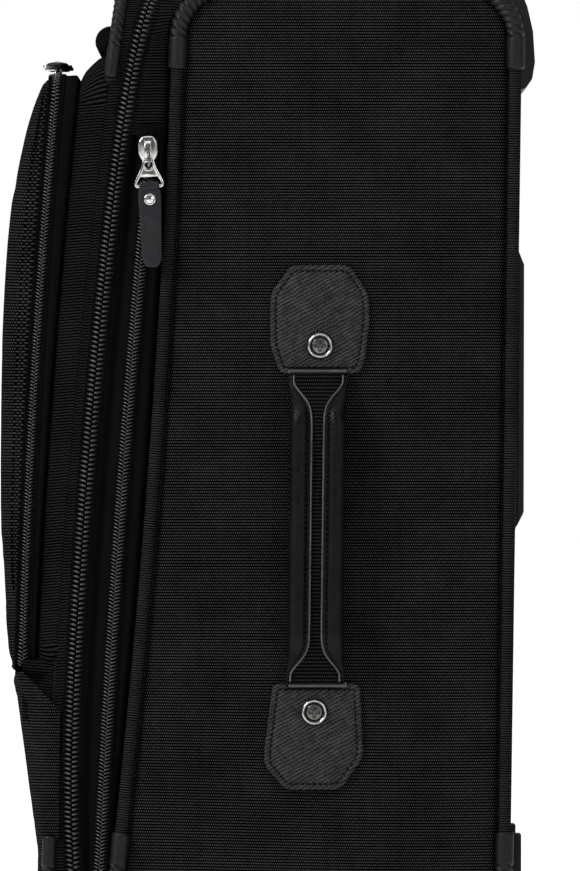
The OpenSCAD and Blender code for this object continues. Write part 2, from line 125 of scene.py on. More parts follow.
# ---- materials ----

def new_material(name, colour, roughness, metallic=0.0, specular=0.5, coat=0.0):
    material = bpy.data.materials.new(name)
    material.use_nodes = True
    shader = material.node_tree.nodes["Principled BSDF"]
    for socket, value in (("Base Color", (*colour, 1)), ("Roughness", roughness), ("Metallic", metallic),
                          ("Specular IOR Level", specular), ("Coat Weight", coat), ("Coat Roughness", 0.25)):
        shader.inputs[socket].default_value = value
    return material, material.node_tree, shader


class Maker:
    """Adds nodes to a tree with little text."""

    def __init__(self, tree):
        self.tree = tree

    def node(self, kind, **settings):
        made = self.tree.nodes.new(kind)
        for name, value in settings.items():
            setattr(made, name, value)
        return made

    def link(self, source, target):
        self.tree.links.new(source, target)

    def math(self, operation, a, b=None):
        made = self.node("ShaderNodeMath", operation=operation)
        for socket, value in zip(made.inputs, (a, b)):
            if value is None:
                continue
            if isinstance(value, (int, float)):
                socket.default_value = value
            else:
                self.link(value, socket)
        return made.outputs[0]

    def plus(self, a, b):
        return self.math("ADD", a, b)

    def times(self, a, b):
        return self.math("MULTIPLY", a, b)

    def flat_place(self):
        """The piece's UV map, laid out in metres."""
        split = self.node("ShaderNodeSeparateXYZ")
        self.link(self.node("ShaderNodeUVMap", uv_map="flat").outputs[0], split.inputs[0])
        return split.outputs[0], split.outputs[1]

    def noise(self, scale, detail=3.0, roughness=0.6, vector=None):
        made = self.node("ShaderNodeTexNoise")
        made.inputs["Scale"].default_value = scale
        made.inputs["Detail"].default_value = detail
        made.inputs["Roughness"].default_value = roughness
        if vector is None:
            vector = self.node("ShaderNodeTexCoord").outputs["Object"]
        self.link(vector, made.inputs["Vector"])
        return made.outputs["Fac"]

    def ramp(self, value, low, high, start=0.0, stop=1.0):
        made = self.node("ShaderNodeValToRGB")
        made.color_ramp.elements[0].color = (*low, 1)
        made.color_ramp.elements[1].color = (*high, 1)
        made.color_ramp.elements[0].position = start
        made.color_ramp.elements[1].position = stop
        self.link(value, made.inputs[0])
        return made.outputs[0]

    def rerange(self, value, low, high):
        made = self.node("ShaderNodeMapRange")
        made.inputs["To Min"].default_value = low
        made.inputs["To Max"].default_value = high
        self.link(value, made.inputs["Value"])
        return made.outputs[0]

    def bump(self, height, depth_mm, shader):
        made = self.node("ShaderNodeBump")
        made.inputs["Distance"].default_value = depth_mm * MM
        made.inputs["Strength"].default_value = 1.0
        self.link(height, made.inputs["Height"])
        self.link(made.outputs[0], shader.inputs["Normal"])


def woven(name, rib, dash, gap_shade, light, depth, roughness=0.75, lean=0.0, floats=0.7, low=0.36):
    """Cloth with ribs along U: rib is their pitch, dash a thread's float, floats how far it stands out. Its
    base colour has painted shade in the gaps between threads and a painted highlight on the thread tops, over
    random patches of tone.
    """
    material, tree, shader = new_material(name, light, roughness, specular=0.004)
    make = Maker(tree)
    u, v = make.flat_place()
    if lean:
        v = make.plus(v, make.times(u, lean))
    row = make.math("DIVIDE", v, rib * MM)
    shift = make.times(make.math("FLOOR", row), 0.5)
    along = make.plus(make.math("DIVIDE", u, dash * MM), shift)
    across = make.math("SINE", make.times(make.math("FRACT", row), math.pi))
    thread = make.math("SINE", make.times(make.math("FRACT", along), math.pi))
    float_share = make.plus(make.times(thread, floats), 1 - floats)
    height = make.times(across, float_share)
    patches = make.noise(38, 4, 0.6)
    fuzz = make.noise(2600, 2, 0.5)
    tone_with_painted_light_and_shade = make.times(height, make.plus(make.times(patches, 0.5), 0.75))
    tone_with_painted_light_and_shade = make.times(tone_with_painted_light_and_shade, make.plus(make.times(fuzz, 0.6), 0.7))
    # painted shade and highlight: by thread height, the base colour runs from the dark colour in the gaps
    # between threads to the light colour on the thread tops, varied by random patches
    make.link(make.ramp(tone_with_painted_light_and_shade, gap_shade, light, low, 1.0), shader.inputs["Base Color"])
    make.link(make.rerange(fuzz, roughness - 0.1, roughness + 0.12), shader.inputs["Roughness"])
    make.bump(make.plus(height, make.times(fuzz, 0.15)), depth, shader)
    return material


def grained(name, base, wear_and_ridge_light, roughness, pitch=1.8, depth=0.30, coat=0.0, specular=0.12):
    """Cross-grained leather: two sets of fine slanting strokes over a soft pebble. Its base colour is lighter
    on the raised strokes, a painted highlight with painted shade in the grooves, and varies with random wear.
    """
    material, tree, shader = new_material(name, base, roughness, specular=specular, coat=coat)
    make = Maker(tree)
    place = make.node("ShaderNodeUVMap", uv_map="flat").outputs[0]
    strokes = []
    for turn, weight in ((-0.5, 1.0), (0.8, 0.6)):
        spin = make.node("ShaderNodeMapping")
        spin.inputs["Rotation"].default_value = (0, 0, turn)
        make.link(place, spin.inputs["Vector"])
        split = make.node("ShaderNodeSeparateXYZ")
        make.link(spin.outputs[0], split.inputs[0])
        drift = make.times(make.noise(110, 3, 0.6, spin.outputs[0]), 8.0)
        turns = make.times(split.outputs[1], 2 * math.pi / (pitch * MM))
        wave = make.plus(make.times(make.math("SINE", make.plus(turns, drift)), 0.5), 0.5)
        broken = make.noise(230, 2, 0.5, spin.outputs[0])
        strokes.append(make.times(make.times(wave, broken), 1.7 * weight))
    height = make.math("MAXIMUM", strokes[0], strokes[1])
    pebble = make.noise(900, 3, 0.6)
    wear = make.noise(60, 4, 0.65)
    height = make.plus(make.times(height, 0.8), make.times(pebble, 0.25))
    tone_with_painted_light_and_shade = make.times(height, make.plus(make.times(wear, 0.8), 0.6))
    # painted highlight and shade: the colour rises from the base colour in the grooves to the light colour on
    # the raised grain strokes, scaled by random wear
    make.link(make.ramp(tone_with_painted_light_and_shade, base, wear_and_ridge_light, 0.22, 0.95), shader.inputs["Base Color"])
    make.link(make.rerange(wear, roughness - 0.08, roughness + 0.12), shader.inputs["Roughness"])
    make.bump(height, depth, shader)
    return material


def moulded(name, base, scuffed, roughness, grain=1500, depth=0.05, specular=0.5):
    """Moulded plastic or rubber with a fine spark-eroded grain and light scuffs."""
    material, tree, shader = new_material(name, base, roughness, specular=specular)
    make = Maker(tree)
    scuffs = make.noise(70, 6, 0.75)
    fine = make.noise(grain, 2, 0.5)
    make.link(make.ramp(scuffs, base, scuffed, 0.45, 0.8), shader.inputs["Base Color"])
    make.link(make.rerange(scuffs, roughness - 0.08, roughness + 0.15), shader.inputs["Roughness"])
    make.bump(fine, depth, shader)
    return material


def metallic(name, base, dull, roughness, brush=False):
    """Metal with faint handling marks, brushed along its length if asked."""
    material, tree, shader = new_material(name, base, roughness, metallic=1.0)
    make = Maker(tree)
    marks = make.noise(220, 5, 0.7)
    make.link(make.ramp(marks, dull, base, 0.3, 0.7), shader.inputs["Base Color"])
    make.link(make.rerange(marks, roughness + 0.08, roughness - 0.04), shader.inputs["Roughness"])
    if brush:
        stretch = make.node("ShaderNodeMapping")
        stretch.inputs["Scale"].default_value = (9000, 9000, 60)
        make.link(make.node("ShaderNodeTexCoord").outputs["Object"], stretch.inputs["Vector"])
        make.bump(make.noise(1.0, 2, 0.5, stretch.outputs[0]), 0.01, shader)
    return material


def grey(value, warm=0.0):
    return (value * (1 + warm), value, value * (1 - warm))


# Each woven cloth's first colour is painted shade for the gaps between threads, its second the thread colour
# with a painted highlight on the thread tops.
BALLISTIC = woven("ballistic_nylon", 1.52, 1.13, grey(0.0001), grey(0.028), 0.5, low=0.45)
RIBBED = woven("ribbed_side_cloth", 1.52, 6.0, grey(0.0001), grey(0.0090), 0.4, lean=0.07, floats=0.15,
               low=0.45)
TWILL = woven("smooth_twill", 0.55, 0.7, grey(0.0008), grey(0.0062), 0.08, lean=0.5)
PIPE_CLOTH = woven("piping_cloth", 1.3, 0.9, grey(0.0001), grey(0.024), 0.25)
TAPE = woven("zip_tape", 0.9, 0.6, grey(0.0002), grey(0.0060), 0.10)
WEBBING = woven("ribbed_webbing", 1.9, 1.0, grey(0.0002), grey(0.014), 0.35)
LINING = woven("lining_cloth", 0.4, 0.4, grey(0.030), grey(0.075), 0.05, roughness=0.5)
STRAP_CLOTH = woven("strap_cloth", 1.2, 0.8, grey(0.01), grey(0.035), 0.15)
COIL = moulded("zip_coil", grey(0.004), grey(0.011), 0.26, grain=900, depth=0.02, specular=0.38)
THREAD = moulded("sewing_thread", grey(0.001), grey(0.004), 0.6, grain=4000, depth=0.04, specular=0.05)
# Each leather's second colour is partly random wear and partly a painted highlight on the raised grain
# strokes.
LEATHER = grained("cross_grained_leather", grey(0.0003), grey(0.025), 0.50, specular=0.08)
GRIP_LEATHER = grained("grip_leather", grey(0.0002), grey(0.0036), 0.34, pitch=1.3, depth=0.14,
                       specular=0.07)
SMOOTH_LEATHER = grained("edge_painted_leather", (0.004, 0.004, 0.006), (0.009, 0.009, 0.012), 0.42,
                         pitch=0.5, depth=0.04, coat=0.05)
TRIM = moulded("moulded_trim", grey(0.0015), grey(0.0050), 0.46, specular=0.14)
BOARD = moulded("fibre_board", grey(0.02), grey(0.05), 0.7, grain=500, depth=0.12)
RUBBER = moulded("matte_rubber", grey(0.004), grey(0.009), 0.62, grain=1200, depth=0.08, specular=0.16)
TYRE = moulded("tyre_rubber", grey(0.008), grey(0.022), 0.55, grain=900, depth=0.06, specular=0.25)
HUB = moulded("hub_plastic", grey(0.020), grey(0.040), 0.38)
BUTTON = moulded("button_plastic", grey(0.03), grey(0.06), 0.35)
PALE_EDGE = moulded("painted_leather_edge", grey(0.022), grey(0.050), 0.4, depth=0.03, specular=0.3)
CHROME = metallic("polished_nickel", grey(0.44, 0.02), grey(0.24, 0.02), 0.16)
GUNMETAL = metallic("gunmetal", grey(0.11, 0.02), grey(0.06, 0.02), 0.28)
ALLOY = metallic("satin_alloy", grey(0.42), grey(0.34), 0.34, brush=True)


# ---- making meshes ----

def turn_outwards(mesh):
    """Makes the faces agree, and look away from the middle of the case where the piece is open."""
    work = bmesh.new()
    work.from_mesh(mesh)
    bmesh.ops.recalc_face_normals(work, faces=work.faces)
    if any(edge.is_boundary for edge in work.edges):
        middle = Vector((0, 0.02, 0.3))
        facing_out = sum(face.normal.dot(face.calc_center_median() - middle) * face.calc_area()
                         for face in work.faces)
        if facing_out < 0:
            bmesh.ops.reverse_faces(work, faces=work.faces)
    work.to_mesh(mesh)
    work.free()


def add(name, parts, material, body, slot, replaces=()):
    """One piece from points in millimetres, faces and a flat place in metres per face corner."""
    points, faces, corner_uv = parts
    mesh = bpy.data.meshes.new(name)
    mesh.from_pydata((np.asarray(points, float) * MM).tolist(), [], [list(map(int, f)) for f in faces])
    layer = mesh.uv_layers.new(name="flat")
    layer.data.foreach_set("uv", np.asarray(corner_uv, np.float32).ravel())
    mesh.polygons.foreach_set("use_smooth", [True] * len(mesh.polygons))
    mesh.materials.append(material)
    mesh.update()
    turn_outwards(mesh)
    piece = bpy.data.objects.new(name, mesh)
    bpy.context.scene.collection.objects.link(piece)
    if body is not None:
        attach(piece, body)
    if replaces:
        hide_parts(*replaces)
    return piece


def grid_parts(grid, u, v, wrap_u=False, wrap_v=False):
    """Points, quads and corner places of a grid; u and v are the flat places of its lines."""
    m, n = grid.shape[:2]
    i, j = np.meshgrid(np.arange(m if wrap_u else m - 1), np.arange(n if wrap_v else n - 1), indexing="ij")
    i, j = i.ravel(), j.ravel()
    corners = [(i, j), (i + 1, j), (i + 1, j + 1), (i, j + 1)]
    faces = np.stack([(a % m) * n + (b % n) for a, b in corners], axis=1)
    u, v = np.asarray(u, float), np.asarray(v, float)
    if u.ndim == 1:
        if wrap_u and len(u) == m:
            u = np.append(u, 2 * u[-1] - u[-2])
        if wrap_v and len(v) == n:
            v = np.append(v, 2 * v[-1] - v[-2])
        uv = np.stack([np.stack([u[a], v[b]], axis=1) for a, b in corners], axis=1)
    else:
        uv = np.stack([np.stack([u[a, b], v[a, b]], axis=1) for a, b in corners], axis=1)
    return grid.reshape(-1, 3), faces, uv.reshape(-1, 2) * MM


def join_parts(parts):
    """One set of points, faces and corner places from several."""
    points, faces, uvs, start = [], [], [], 0
    for p, f, uv in parts:
        points.append(np.asarray(p, float).reshape(-1, 3))
        faces.extend([[int(k) + start for k in face] for face in f])
        uvs.append(np.asarray(uv, float).reshape(-1, 2))
        start += len(points[-1])
    return np.concatenate(points), faces, np.concatenate(uvs)


def lengths(path, closed=False):
    """Distance along a path, with the closing step added if it is closed."""
    steps = np.diff(np.vstack([path, path[:1]]) if closed else path, axis=0)
    return np.concatenate([[0], np.cumsum(np.linalg.norm(steps, axis=1))])


def unit(vectors):
    return vectors / np.linalg.norm(vectors, axis=1, keepdims=True)


def tangents(path, closed=False):
    if closed:
        return unit(np.roll(path, -1, axis=0) - np.roll(path, 1, axis=0))
    return unit(np.gradient(path, axis=0))


def axes_along(path, normals, closed=False):
    """The directions along, out of and across a path, at right angles to each other."""
    t = tangents(path, closed)
    out = unit(normals - t * np.sum(normals * t, axis=1, keepdims=True))
    return t, out, np.cross(t, out)


def sweep(path, normals, profile, closed=False, scale=None):
    """A closed profile of (out, across) points carried along a path whose out direction is normals."""
    _, out, side = axes_along(path, normals, closed)
    profile = np.asarray(profile, float)
    a, b = profile[:, 0], profile[:, 1]
    grow = np.ones(len(path)) if scale is None else scale
    grid = (path[:, None] + out[:, None] * (a[None, :, None] * grow[:, None, None])
            + side[:, None] * (b[None, :, None] * grow[:, None, None]))
    u = lengths(path, closed)
    v = lengths(np.column_stack([profile, 0 * a]), True)
    return grid_parts(grid, u, v, closed, True)


def round_angles(count):
    return np.linspace(0, 2 * math.pi, count, endpoint=False)


def circle(radius, count=16):
    angle = round_angles(count)
    return np.stack([radius * np.cos(angle), -radius * np.sin(angle)], axis=1)


def capped(parts, count):
    """Closes the two ends of a tube whose rings hold count points."""
    points, faces, uv = parts
    last = len(points) - count
    caps = [list(range(count))[::-1], list(range(last, last + count))]
    return points, [list(face) for face in faces] + caps, np.concatenate([uv, np.zeros((2 * count, 2))])


def rounded_points(x, z0, z1, r, step=3.0, corner_steps=14):
    """A rounded rectangle in X and Z, from the middle of its foot up the +X side and round."""
    points, normals = [], []

    def run(start, stop, normal):
        count = max(2, int(math.dist(start, stop) / step))
        for k in range(count):
            points.append([start[i] + (stop[i] - start[i]) * k / count for i in (0, 1)])
            normals.append(normal)

    def turn(cx, cz, start):
        for k in range(corner_steps):
            angle = start + math.pi / 2 * k / corner_steps
            points.append([cx + r * math.cos(angle), cz + r * math.sin(angle)])
            normals.append((math.cos(angle), math.sin(angle)))

    run((0, z0), (x - r, z0), (0, -1))
    turn(x - r, z0 + r, -math.pi / 2)
    run((x, z0 + r), (x, z1 - r), (1, 0))
    turn(x - r, z1 - r, 0)
    run((x - r, z1), (r - x, z1), (0, 1))
    turn(r - x, z1 - r, math.pi / 2)
    run((-x, z1 - r), (-x, z0 + r), (-1, 0))
    turn(r - x, z0 + r, math.pi)
    run((r - x, z0), (0, z0), (0, -1))
    return np.array(points), np.array(normals)


def ring(grow, line, foot=None, top=None):
    """The loop round the case's front, grown by grow, on a line; open above foot or below top."""
    flat, out = rounded_points(BAND_X + grow, LID_FOOT - grow, LID_TOP + grow, RING_R + grow)
    if foot is not None:
        keep = flat[:, 1] > foot
        flat, out = flat[keep], out[keep]
    if top is not None:
        keep = flat[:, 1] < top
        first = np.argmax(~keep)
        order = np.concatenate([np.arange(first, len(flat)), np.arange(first)])
        order = order[keep[order]]
        flat, out = flat[order], out[order]
    y = line(flat[:, 1])
    path = np.column_stack([flat[:, 0], y, flat[:, 1]])
    return path, np.column_stack([out[:, 0], 0 * y, out[:, 1]])


def side_loop(step=3.0, corner_steps=14):
    """The loop of a side panel's piping, from its upper front corner's end round by the top."""
    low, high = BEND_LOW, BEND_HIGH
    points, out = [], []

    def turn(cy, cz, r, start):
        for k in range(corner_steps + 1):
            angle = start - math.pi / 2 * k / corner_steps
            points.append([cy + r * math.cos(angle), cz + r * math.sin(angle)])
            out.append([math.cos(angle), math.sin(angle)])

    def run(start, stop, normal, bend=None):
        count = max(2, int(math.dist(start, stop) / step))
        for k in range(1, count):
            y, z = (start[i] + (stop[i] - start[i]) * k / count for i in (0, 1))
            points.append([bend(z) if bend else y, z])
            out.append(normal)

    front_high, front_low = front_edge(high), front_edge(low)
    back_high, back_low = back_edge(high), back_edge(low)
    turn(front_high + UPPER_R, high, UPPER_R, math.pi)
    run((front_high + UPPER_R, CASE_TOP), (back_high - UPPER_R, CASE_TOP), [0, 1])
    turn(back_high - UPPER_R, high, UPPER_R, math.pi / 2)
    run((back_high, high), (back_low, low), [1, 0])
    turn(back_low - LOWER_R, low, LOWER_R, 0)
    run((back_low - LOWER_R, CASE_BOTTOM), (front_low + LOWER_R, CASE_BOTTOM), [0, -1])
    turn(front_low + LOWER_R, low, LOWER_R, -math.pi / 2)
    run((front_low, low), (front_high, high), [-1, 0], front_edge)
    points, out = np.array(points), np.array(out)
    path = np.column_stack([np.full(len(points), PIPE_X), points])
    return path, np.column_stack([np.zeros(len(points)), out])


def resample(path, normals, step, closed=False):
    """The same path with points step apart."""
    if closed:
        path, normals = np.vstack([path, path[:1]]), np.vstack([normals, normals[:1]])
    s = lengths(path)
    count = max(3, int(round(s[-1] / step)))
    t = np.linspace(0, s[-1], count + 1)
    if closed:
        t = t[:-1]
    new = np.stack([np.interp(t, s, path[:, k]) for k in range(3)], axis=1)
    return new, unit(np.stack([np.interp(t, s, normals[:, k]) for k in range(3)], axis=1))


def mirrored(parts):
    """The same parts on the other side of the case."""
    points, faces, uv = parts
    points = np.asarray(points, float) * [-1, 1, 1]
    uv = np.asarray(uv, float)
    flipped, corners, start = [], [], 0
    for face in faces:
        count = len(face)
        flipped.append(list(face)[::-1])
        corners.append(uv[start:start + count][::-1])
        start += count
    return points, flipped, np.concatenate(corners)


def facing(parts, sign):
    return parts if sign > 0 else mirrored(parts)


def swapped(parts):
    """The same sheet with its ribs turned across."""
    points, faces, uv = parts
    return points, faces, np.asarray(uv)[:, ::-1]


def without(parts, unwanted):
    """The same quads but for those whose corners are all marked in unwanted."""
    points, faces, uv = parts
    keep = [not all(unwanted[k] for k in face) for face in faces]
    return points, np.asarray(faces)[keep], np.asarray(uv).reshape(-1, 4, 2)[keep].reshape(-1, 2)


def cloth_grid(x, y, z, u, v):
    return grid_parts(np.stack([x, y, z], axis=2), u, v)


# ---- fabric panels ----

def ripple(y, z, size, seed):
    """A slow, repeatable unevenness of cloth."""
    a = np.sin(y * 0.043 + z * 0.019 + seed) + np.sin(z * 0.031 - y * 0.027 + 2 * seed)
    b = np.sin(y * 0.11 - z * 0.05 + 3 * seed) * 0.4 + np.sin(z * 0.13 + y * 0.04 + seed) * 0.3
    return size * (a + b) / 2.7


def side_limits(z, inset):
    """Front and rear y of a side panel at height z, inset from the middle of its piping."""
    low, high = BEND_LOW, BEND_HIGH
    r_high, r_low = UPPER_R - inset, LOWER_R - inset
    lift = np.clip((z - high) / r_high, 0, 1)
    drop = np.clip((low - z) / r_low, 0, 1)
    round_off = r_high * (1 - np.sqrt(1 - lift ** 2)) + r_low * (1 - np.sqrt(1 - drop ** 2))
    inner = np.clip(z, low, high)
    return front_edge(inner) + inset + round_off, back_edge(inner) - inset - round_off


def eased(count, power=1.6):
    """Places from 0 to 1 that crowd towards both ends."""
    t = np.linspace(-1, 1, count)
    return (np.sign(t) * (1 - (1 - np.abs(t)) ** power) + 1) / 2


def edge_distance(rows, columns, tall, wide):
    """Distance in millimetres from the nearest edge, for shares of the way up and across."""
    up = np.minimum(rows, 1 - rows)[:, None] * tall
    return np.minimum(up, np.minimum(columns, 1 - columns)[None] * wide)


def side_panel(sign):
    """The padded cloth of one side, sunk at its piping."""
    inset = 3.6
    rows, columns = eased(150), eased(64)
    z = CASE_BOTTOM + inset + (CASE_TOP - CASE_BOTTOM - 2 * inset) * rows
    front, rear = side_limits(z, inset)
    y = front[:, None] + (rear - front)[:, None] * columns[None]
    z = np.repeat(z[:, None], len(columns), axis=1)
    edge = edge_distance(rows, columns, 500, 185)
    crown = 1.3 * (1 - np.exp(-edge / 22)) - 4.2 * np.exp(-edge / 1.5)
    x = PANEL_X - 0.2 + crown + ripple(y, z, 0.3, sign)
    sag = 1.5 * np.exp(-((z - 120) / 60) ** 2) * np.sin((y + 20) / 60)
    parts = cloth_grid(x, y, z, y, z + sag)
    name = "side_panel_right" if sign > 0 else "side_panel_left"
    piece = add(name + "_cloth", facing(parts, sign), BALLISTIC, "case", "ballistic_nylon", [name])


def quarter_turn(cy, cz, r, start, turns=10):
    """A quarter turn in Y and Z, clockwise from the angle start."""
    angles = start - np.linspace(0, math.pi / 2, turns)
    return np.stack([cy + r * np.cos(angles), cz + r * np.sin(angles)], axis=1)


def wrap_grid(line, crown):
    """A sheet across the case along a line of (y, z), crowned between its edges, and its flat places."""
    wide = 349
    line = np.array(line, float)
    s = lengths(np.column_stack([line, line[:, 0] * 0]))
    columns = eased(72)
    x = -wide / 2 + wide * columns
    edge = np.minimum(columns, 1 - columns) * wide
    lift = crown * (1 - np.exp(-edge / 30)) - 1.5 * np.exp(-edge / 2.5)
    t = unit(np.gradient(line, axis=0))
    ends = np.minimum(s, s[-1] - s)
    swell = (1 - 0.8 * np.exp(-ends / 4))[:, None] * lift[None] + ripple(s[:, None], x[None], 0.3, crown)
    grid = np.zeros((len(line), len(x), 3))
    grid[..., 0] = x[None]
    grid[..., 1] = line[:, 0][:, None] - t[:, 1][:, None] * swell
    grid[..., 2] = line[:, 1][:, None] + t[:, 0][:, None] * swell
    return grid, np.repeat(x[None], len(line), axis=0), np.repeat(s[:, None], len(x), axis=1)


def top_wrap():
    """The cloth over the top, back and bottom, in three sheets that follow the tub."""
    grow = -1.4
    seam = 8
    top_front, foot_front = -57, -92
    upper = quarter_turn(back_edge(BEND_HIGH) - UPPER_R, BEND_HIGH, UPPER_R + grow, math.pi / 2)
    lower = quarter_turn(back_edge(BEND_LOW) - LOWER_R, BEND_LOW, LOWER_R + grow, 0)
    top_line = [[y, CASE_TOP + grow] for y in np.linspace(top_front, upper[0][0], 44)[:-1]]
    top_line += upper[:seam].tolist()
    back_line = upper[seam - 1:].tolist()
    back_line += [[back_edge(z) + grow, z] for z in np.linspace(BEND_HIGH, BEND_LOW, 90)[1:-1]]
    back_line += lower[:2].tolist()
    foot_line = lower[1:].tolist()
    foot_line += [[y, CASE_BOTTOM - grow] for y in np.linspace(lower[-1][0], foot_front, 50)[1:]]
    for line, node, crown, front, rear in ((top_line, "top_panel", 0.7, top_front, -25),
                                           (back_line, "back_panel", 1.0, None, None),
                                           (foot_line, "bottom_panel", 0.3, foot_front, -50)):
        points, faces, uv = grid_parts(*wrap_grid(line, crown))
        if front is not None:
            pull = np.clip((np.abs(points[:, 0]) - 142) / 34, 0, 1) * (points[:, 1] < -20)
            limit = front + (rear - front) * pull
            points[:, 1] = np.where(points[:, 1] < -25, np.maximum(points[:, 1], limit), points[:, 1])
        parts = (points, faces, uv)
        if node != "top_panel":
            beside = np.abs(np.abs(points[:, 0]) - WHEEL_X) < WELL_HALF
            parts = without(parts, beside & (points[:, 1] > 59) & (points[:, 2] < 84))
        add(node + "_cloth", parts, BALLISTIC, "case", "ballistic_nylon", [node])


def rope_parts(path, normals, radius, strands=3, lay=12.0, depth=1.4, count=30):
    """A laid rope: its surface has one ridge per strand, turning once every lay."""
    _, out, side = axes_along(path, normals)
    s = lengths(path)
    angle = round_angles(count)
    phase = strands / 2 * (angle[None] - 2 * math.pi * s[:, None] / lay)
    r = radius - depth + depth * np.abs(np.cos(phase)) ** 0.7
    grid = (path[:, None] + out[:, None] * (r * np.cos(angle))[..., None]
            - side[:, None] * (r * np.sin(angle))[..., None])
    return grid_parts(grid, s, angle * radius, False, True)


def sleeve_parts(path, normals, radius):
    """A smooth moulded sleeve with eased ends."""
    s = lengths(path)
    ends = np.minimum(s, s[-1] - s)
    scale = np.sqrt(np.clip(1 - (1 - np.clip(ends / 1.6, 0, 1)) ** 2, 0, 1)) * 0.18 + 0.82
    return sweep(path, normals, circle(radius, 24), scale=scale)


def nearest(path, target):
    return int(np.argmin(np.linalg.norm(path - np.array(target), axis=1)))


def stretch(path, normals, first, last):
    """The part of a closed path from one index to another, round the end if need be."""
    if last < first:
        index = np.concatenate([np.arange(first, len(path)), np.arange(0, last + 1)])
    else:
        index = np.arange(first, last + 1)
    return path[index], normals[index]


def guards(path, normals, corners, sleeve, radius, step):
    """A rope over each corner and a sleeve at both of its ends."""
    parts = []
    count = int(sleeve / step)
    for start, stop in corners:
        a, b = nearest(path, start), nearest(path, stop)
        if (b - a) % len(path) > len(path) / 2:
            a, b = b, a
        parts.append(rope_parts(*stretch(path, normals, a, b), radius=radius))
        for first, last in ((a - count, a + 2), (b - 2, b + count)):
            first, last = first % len(path), last % len(path)
            parts.append(sleeve_parts(*stretch(path, normals, first, last), radius * 1.02))
    return join_parts(parts)


def side_piping(sign):
    """The piping of one side, its sewn flange behind it and its four corner guards."""
    name = "right" if sign > 0 else "left"
    path, normals = side_loop()
    tube = swapped(sweep(path, normals, circle(PIPE_CLOTH_R), True))
    add("piping_" + name + "_tube", facing(tube, sign), PIPE_CLOTH, "case", "piping_fabric",
        ["piping_" + name])
    edges = [path + normals * inwards - np.array([across, 0, 0])
             for across, inwards in ((10, -3.6), (1.2, -1.0), (5.8, -9.0))]
    flange = grid_parts(np.stack(edges, axis=1), lengths(path, True), [0, 10, 20], wrap_u=True)
    add("piping_" + name + "_flange", facing(flange, sign), PIPE_CLOTH, "case", "piping_fabric")
    step = 0.5
    path, normals = resample(path, normals, step, closed=True)
    high, low, over = BEND_HIGH, BEND_LOW, BEND_LOW + 9
    corners = [((PIPE_X, front_edge(high), high), (PIPE_X, front_edge(high) + UPPER_R, CASE_TOP)),
               ((PIPE_X, back_edge(high) - UPPER_R, CASE_TOP), (PIPE_X, back_edge(high), high)),
               ((PIPE_X, back_edge(low), over), (PIPE_X, back_edge(low) - LOWER_R, CASE_BOTTOM)),
               ((PIPE_X, front_edge(low) + LOWER_R, CASE_BOTTOM), (PIPE_X, front_edge(low), over))]
    add("corner_guards_" + name + "_rope", facing(guards(path, normals, corners, 16, 4.7, step), sign),
        TRIM, "case", "moulded_trim", ["corner_guards_" + name])


# ---- bands of cloth round the front of the case ----

def rear_of_band(ring_points, ring_normals):
    """Where the band before the piping starts: at the piping, round its corners too."""
    high, low = BEND_HIGH, BEND_LOW
    rear = np.zeros_like(ring_points)
    for k, (p, n) in enumerate(zip(ring_points, ring_normals)):
        side = math.copysign(PIPE_X - 1.2, p[0])
        angle = math.atan2(abs(n[2]), abs(n[0]))
        if abs(n[2]) < 1e-6:
            rear[k] = (side, front_edge(p[2]) - 2.5, p[2])
        elif abs(n[0]) < 1e-6 and n[2] > 0:
            rear[k] = (p[0], -56.5, CASE_TOP - 0.8)
        elif abs(n[0]) < 1e-6:
            rear[k] = (p[0], -91.5, CASE_BOTTOM + 1.2)
        elif n[2] > 0:
            rear[k] = (side, front_edge(high) + UPPER_R - (UPPER_R + 2) * math.cos(angle),
                       high + (UPPER_R - 0.5) * math.sin(angle))
        else:
            rear[k] = (side, front_edge(low) + LOWER_R - (LOWER_R + 2) * math.cos(angle),
                       low - (LOWER_R - 0.5) * math.sin(angle))
    return rear


def band_grid(first, second, normals, rows):
    """A sheet between two loops; rows are (share, mm on from there, height)."""
    width = np.linalg.norm(second - first, axis=1, keepdims=True)
    along = (second - first) / np.maximum(width, 1e-6)
    lines = [first + (second - first) * share + along * offset + normals * height
             for share, offset, height in rows]
    grid = np.stack(lines, axis=1)
    across = [share * float(np.median(width)) + offset for share, offset, _ in rows]
    return grid_parts(grid, lengths(first), across)


def close_loop(path, normals):
    return np.vstack([path, path[:1]]), np.vstack([normals, normals[:1]])


def front_band():
    """The smooth band from the piping to the expansion zip."""
    edge, normals = close_loop(*ring(0, expansion_line))
    rear = rear_of_band(edge, normals)
    rows = [(0, 0, -4.0), (0, 1.6, -3.2), (0, 2.4, -0.6), (0.0, 3.6, 0.6), (0.4, 0, 1.1), (0.6, 0, 0.9),
            (1, -4.2, 0.7), (1, -3.8, 1.6), (1, -3.0, 1.5), (1, -0.4, 1.2)]
    cloth = cut_above(swapped(band_grid(rear, edge, normals, rows)), EXPANSION_TOP)
    add("front_band_cloth", cloth, TWILL, "case", "tape_fabric", ["front_band"])


def frame_band():
    """The cloth between the expansion zip and the main zip, with its folds."""
    first, normals = close_loop(*ring(0, expansion_line))
    second, _ = close_loop(*ring(0, main_line))
    second = np.where(second[:, 1:2] > first[:, 1:2] - 2.5, np.column_stack(
        [second[:, 0], first[:, 1] - 2.5, second[:, 2]]), second)
    rows = [(0, 0.4, 1.2), (0.14, 0, 1.5), (0.2, 0, 1.6), (0.24, 0, 0.7), (0.34, 0, -0.4), (0.46, 0, -2.4),
            (0.52, 0, -2.6), (0.58, 0, -0.6), (0.66, 0, 0.9), (0.72, 0, 1.1), (0.76, 0, 2.0), (1, -0.4, 1.7)]
    cloth = cut_above(swapped(band_grid(first, second, normals, rows)), EXPANSION_TOP)
    add("front_frame_cloth", cloth, TWILL, "front_frame", "tape_fabric", ["front_frame"])


def cut_above(parts, limit):
    """The same sheet without its faces that lie wholly above limit."""
    return without(parts, parts[0][:, 2] > limit)


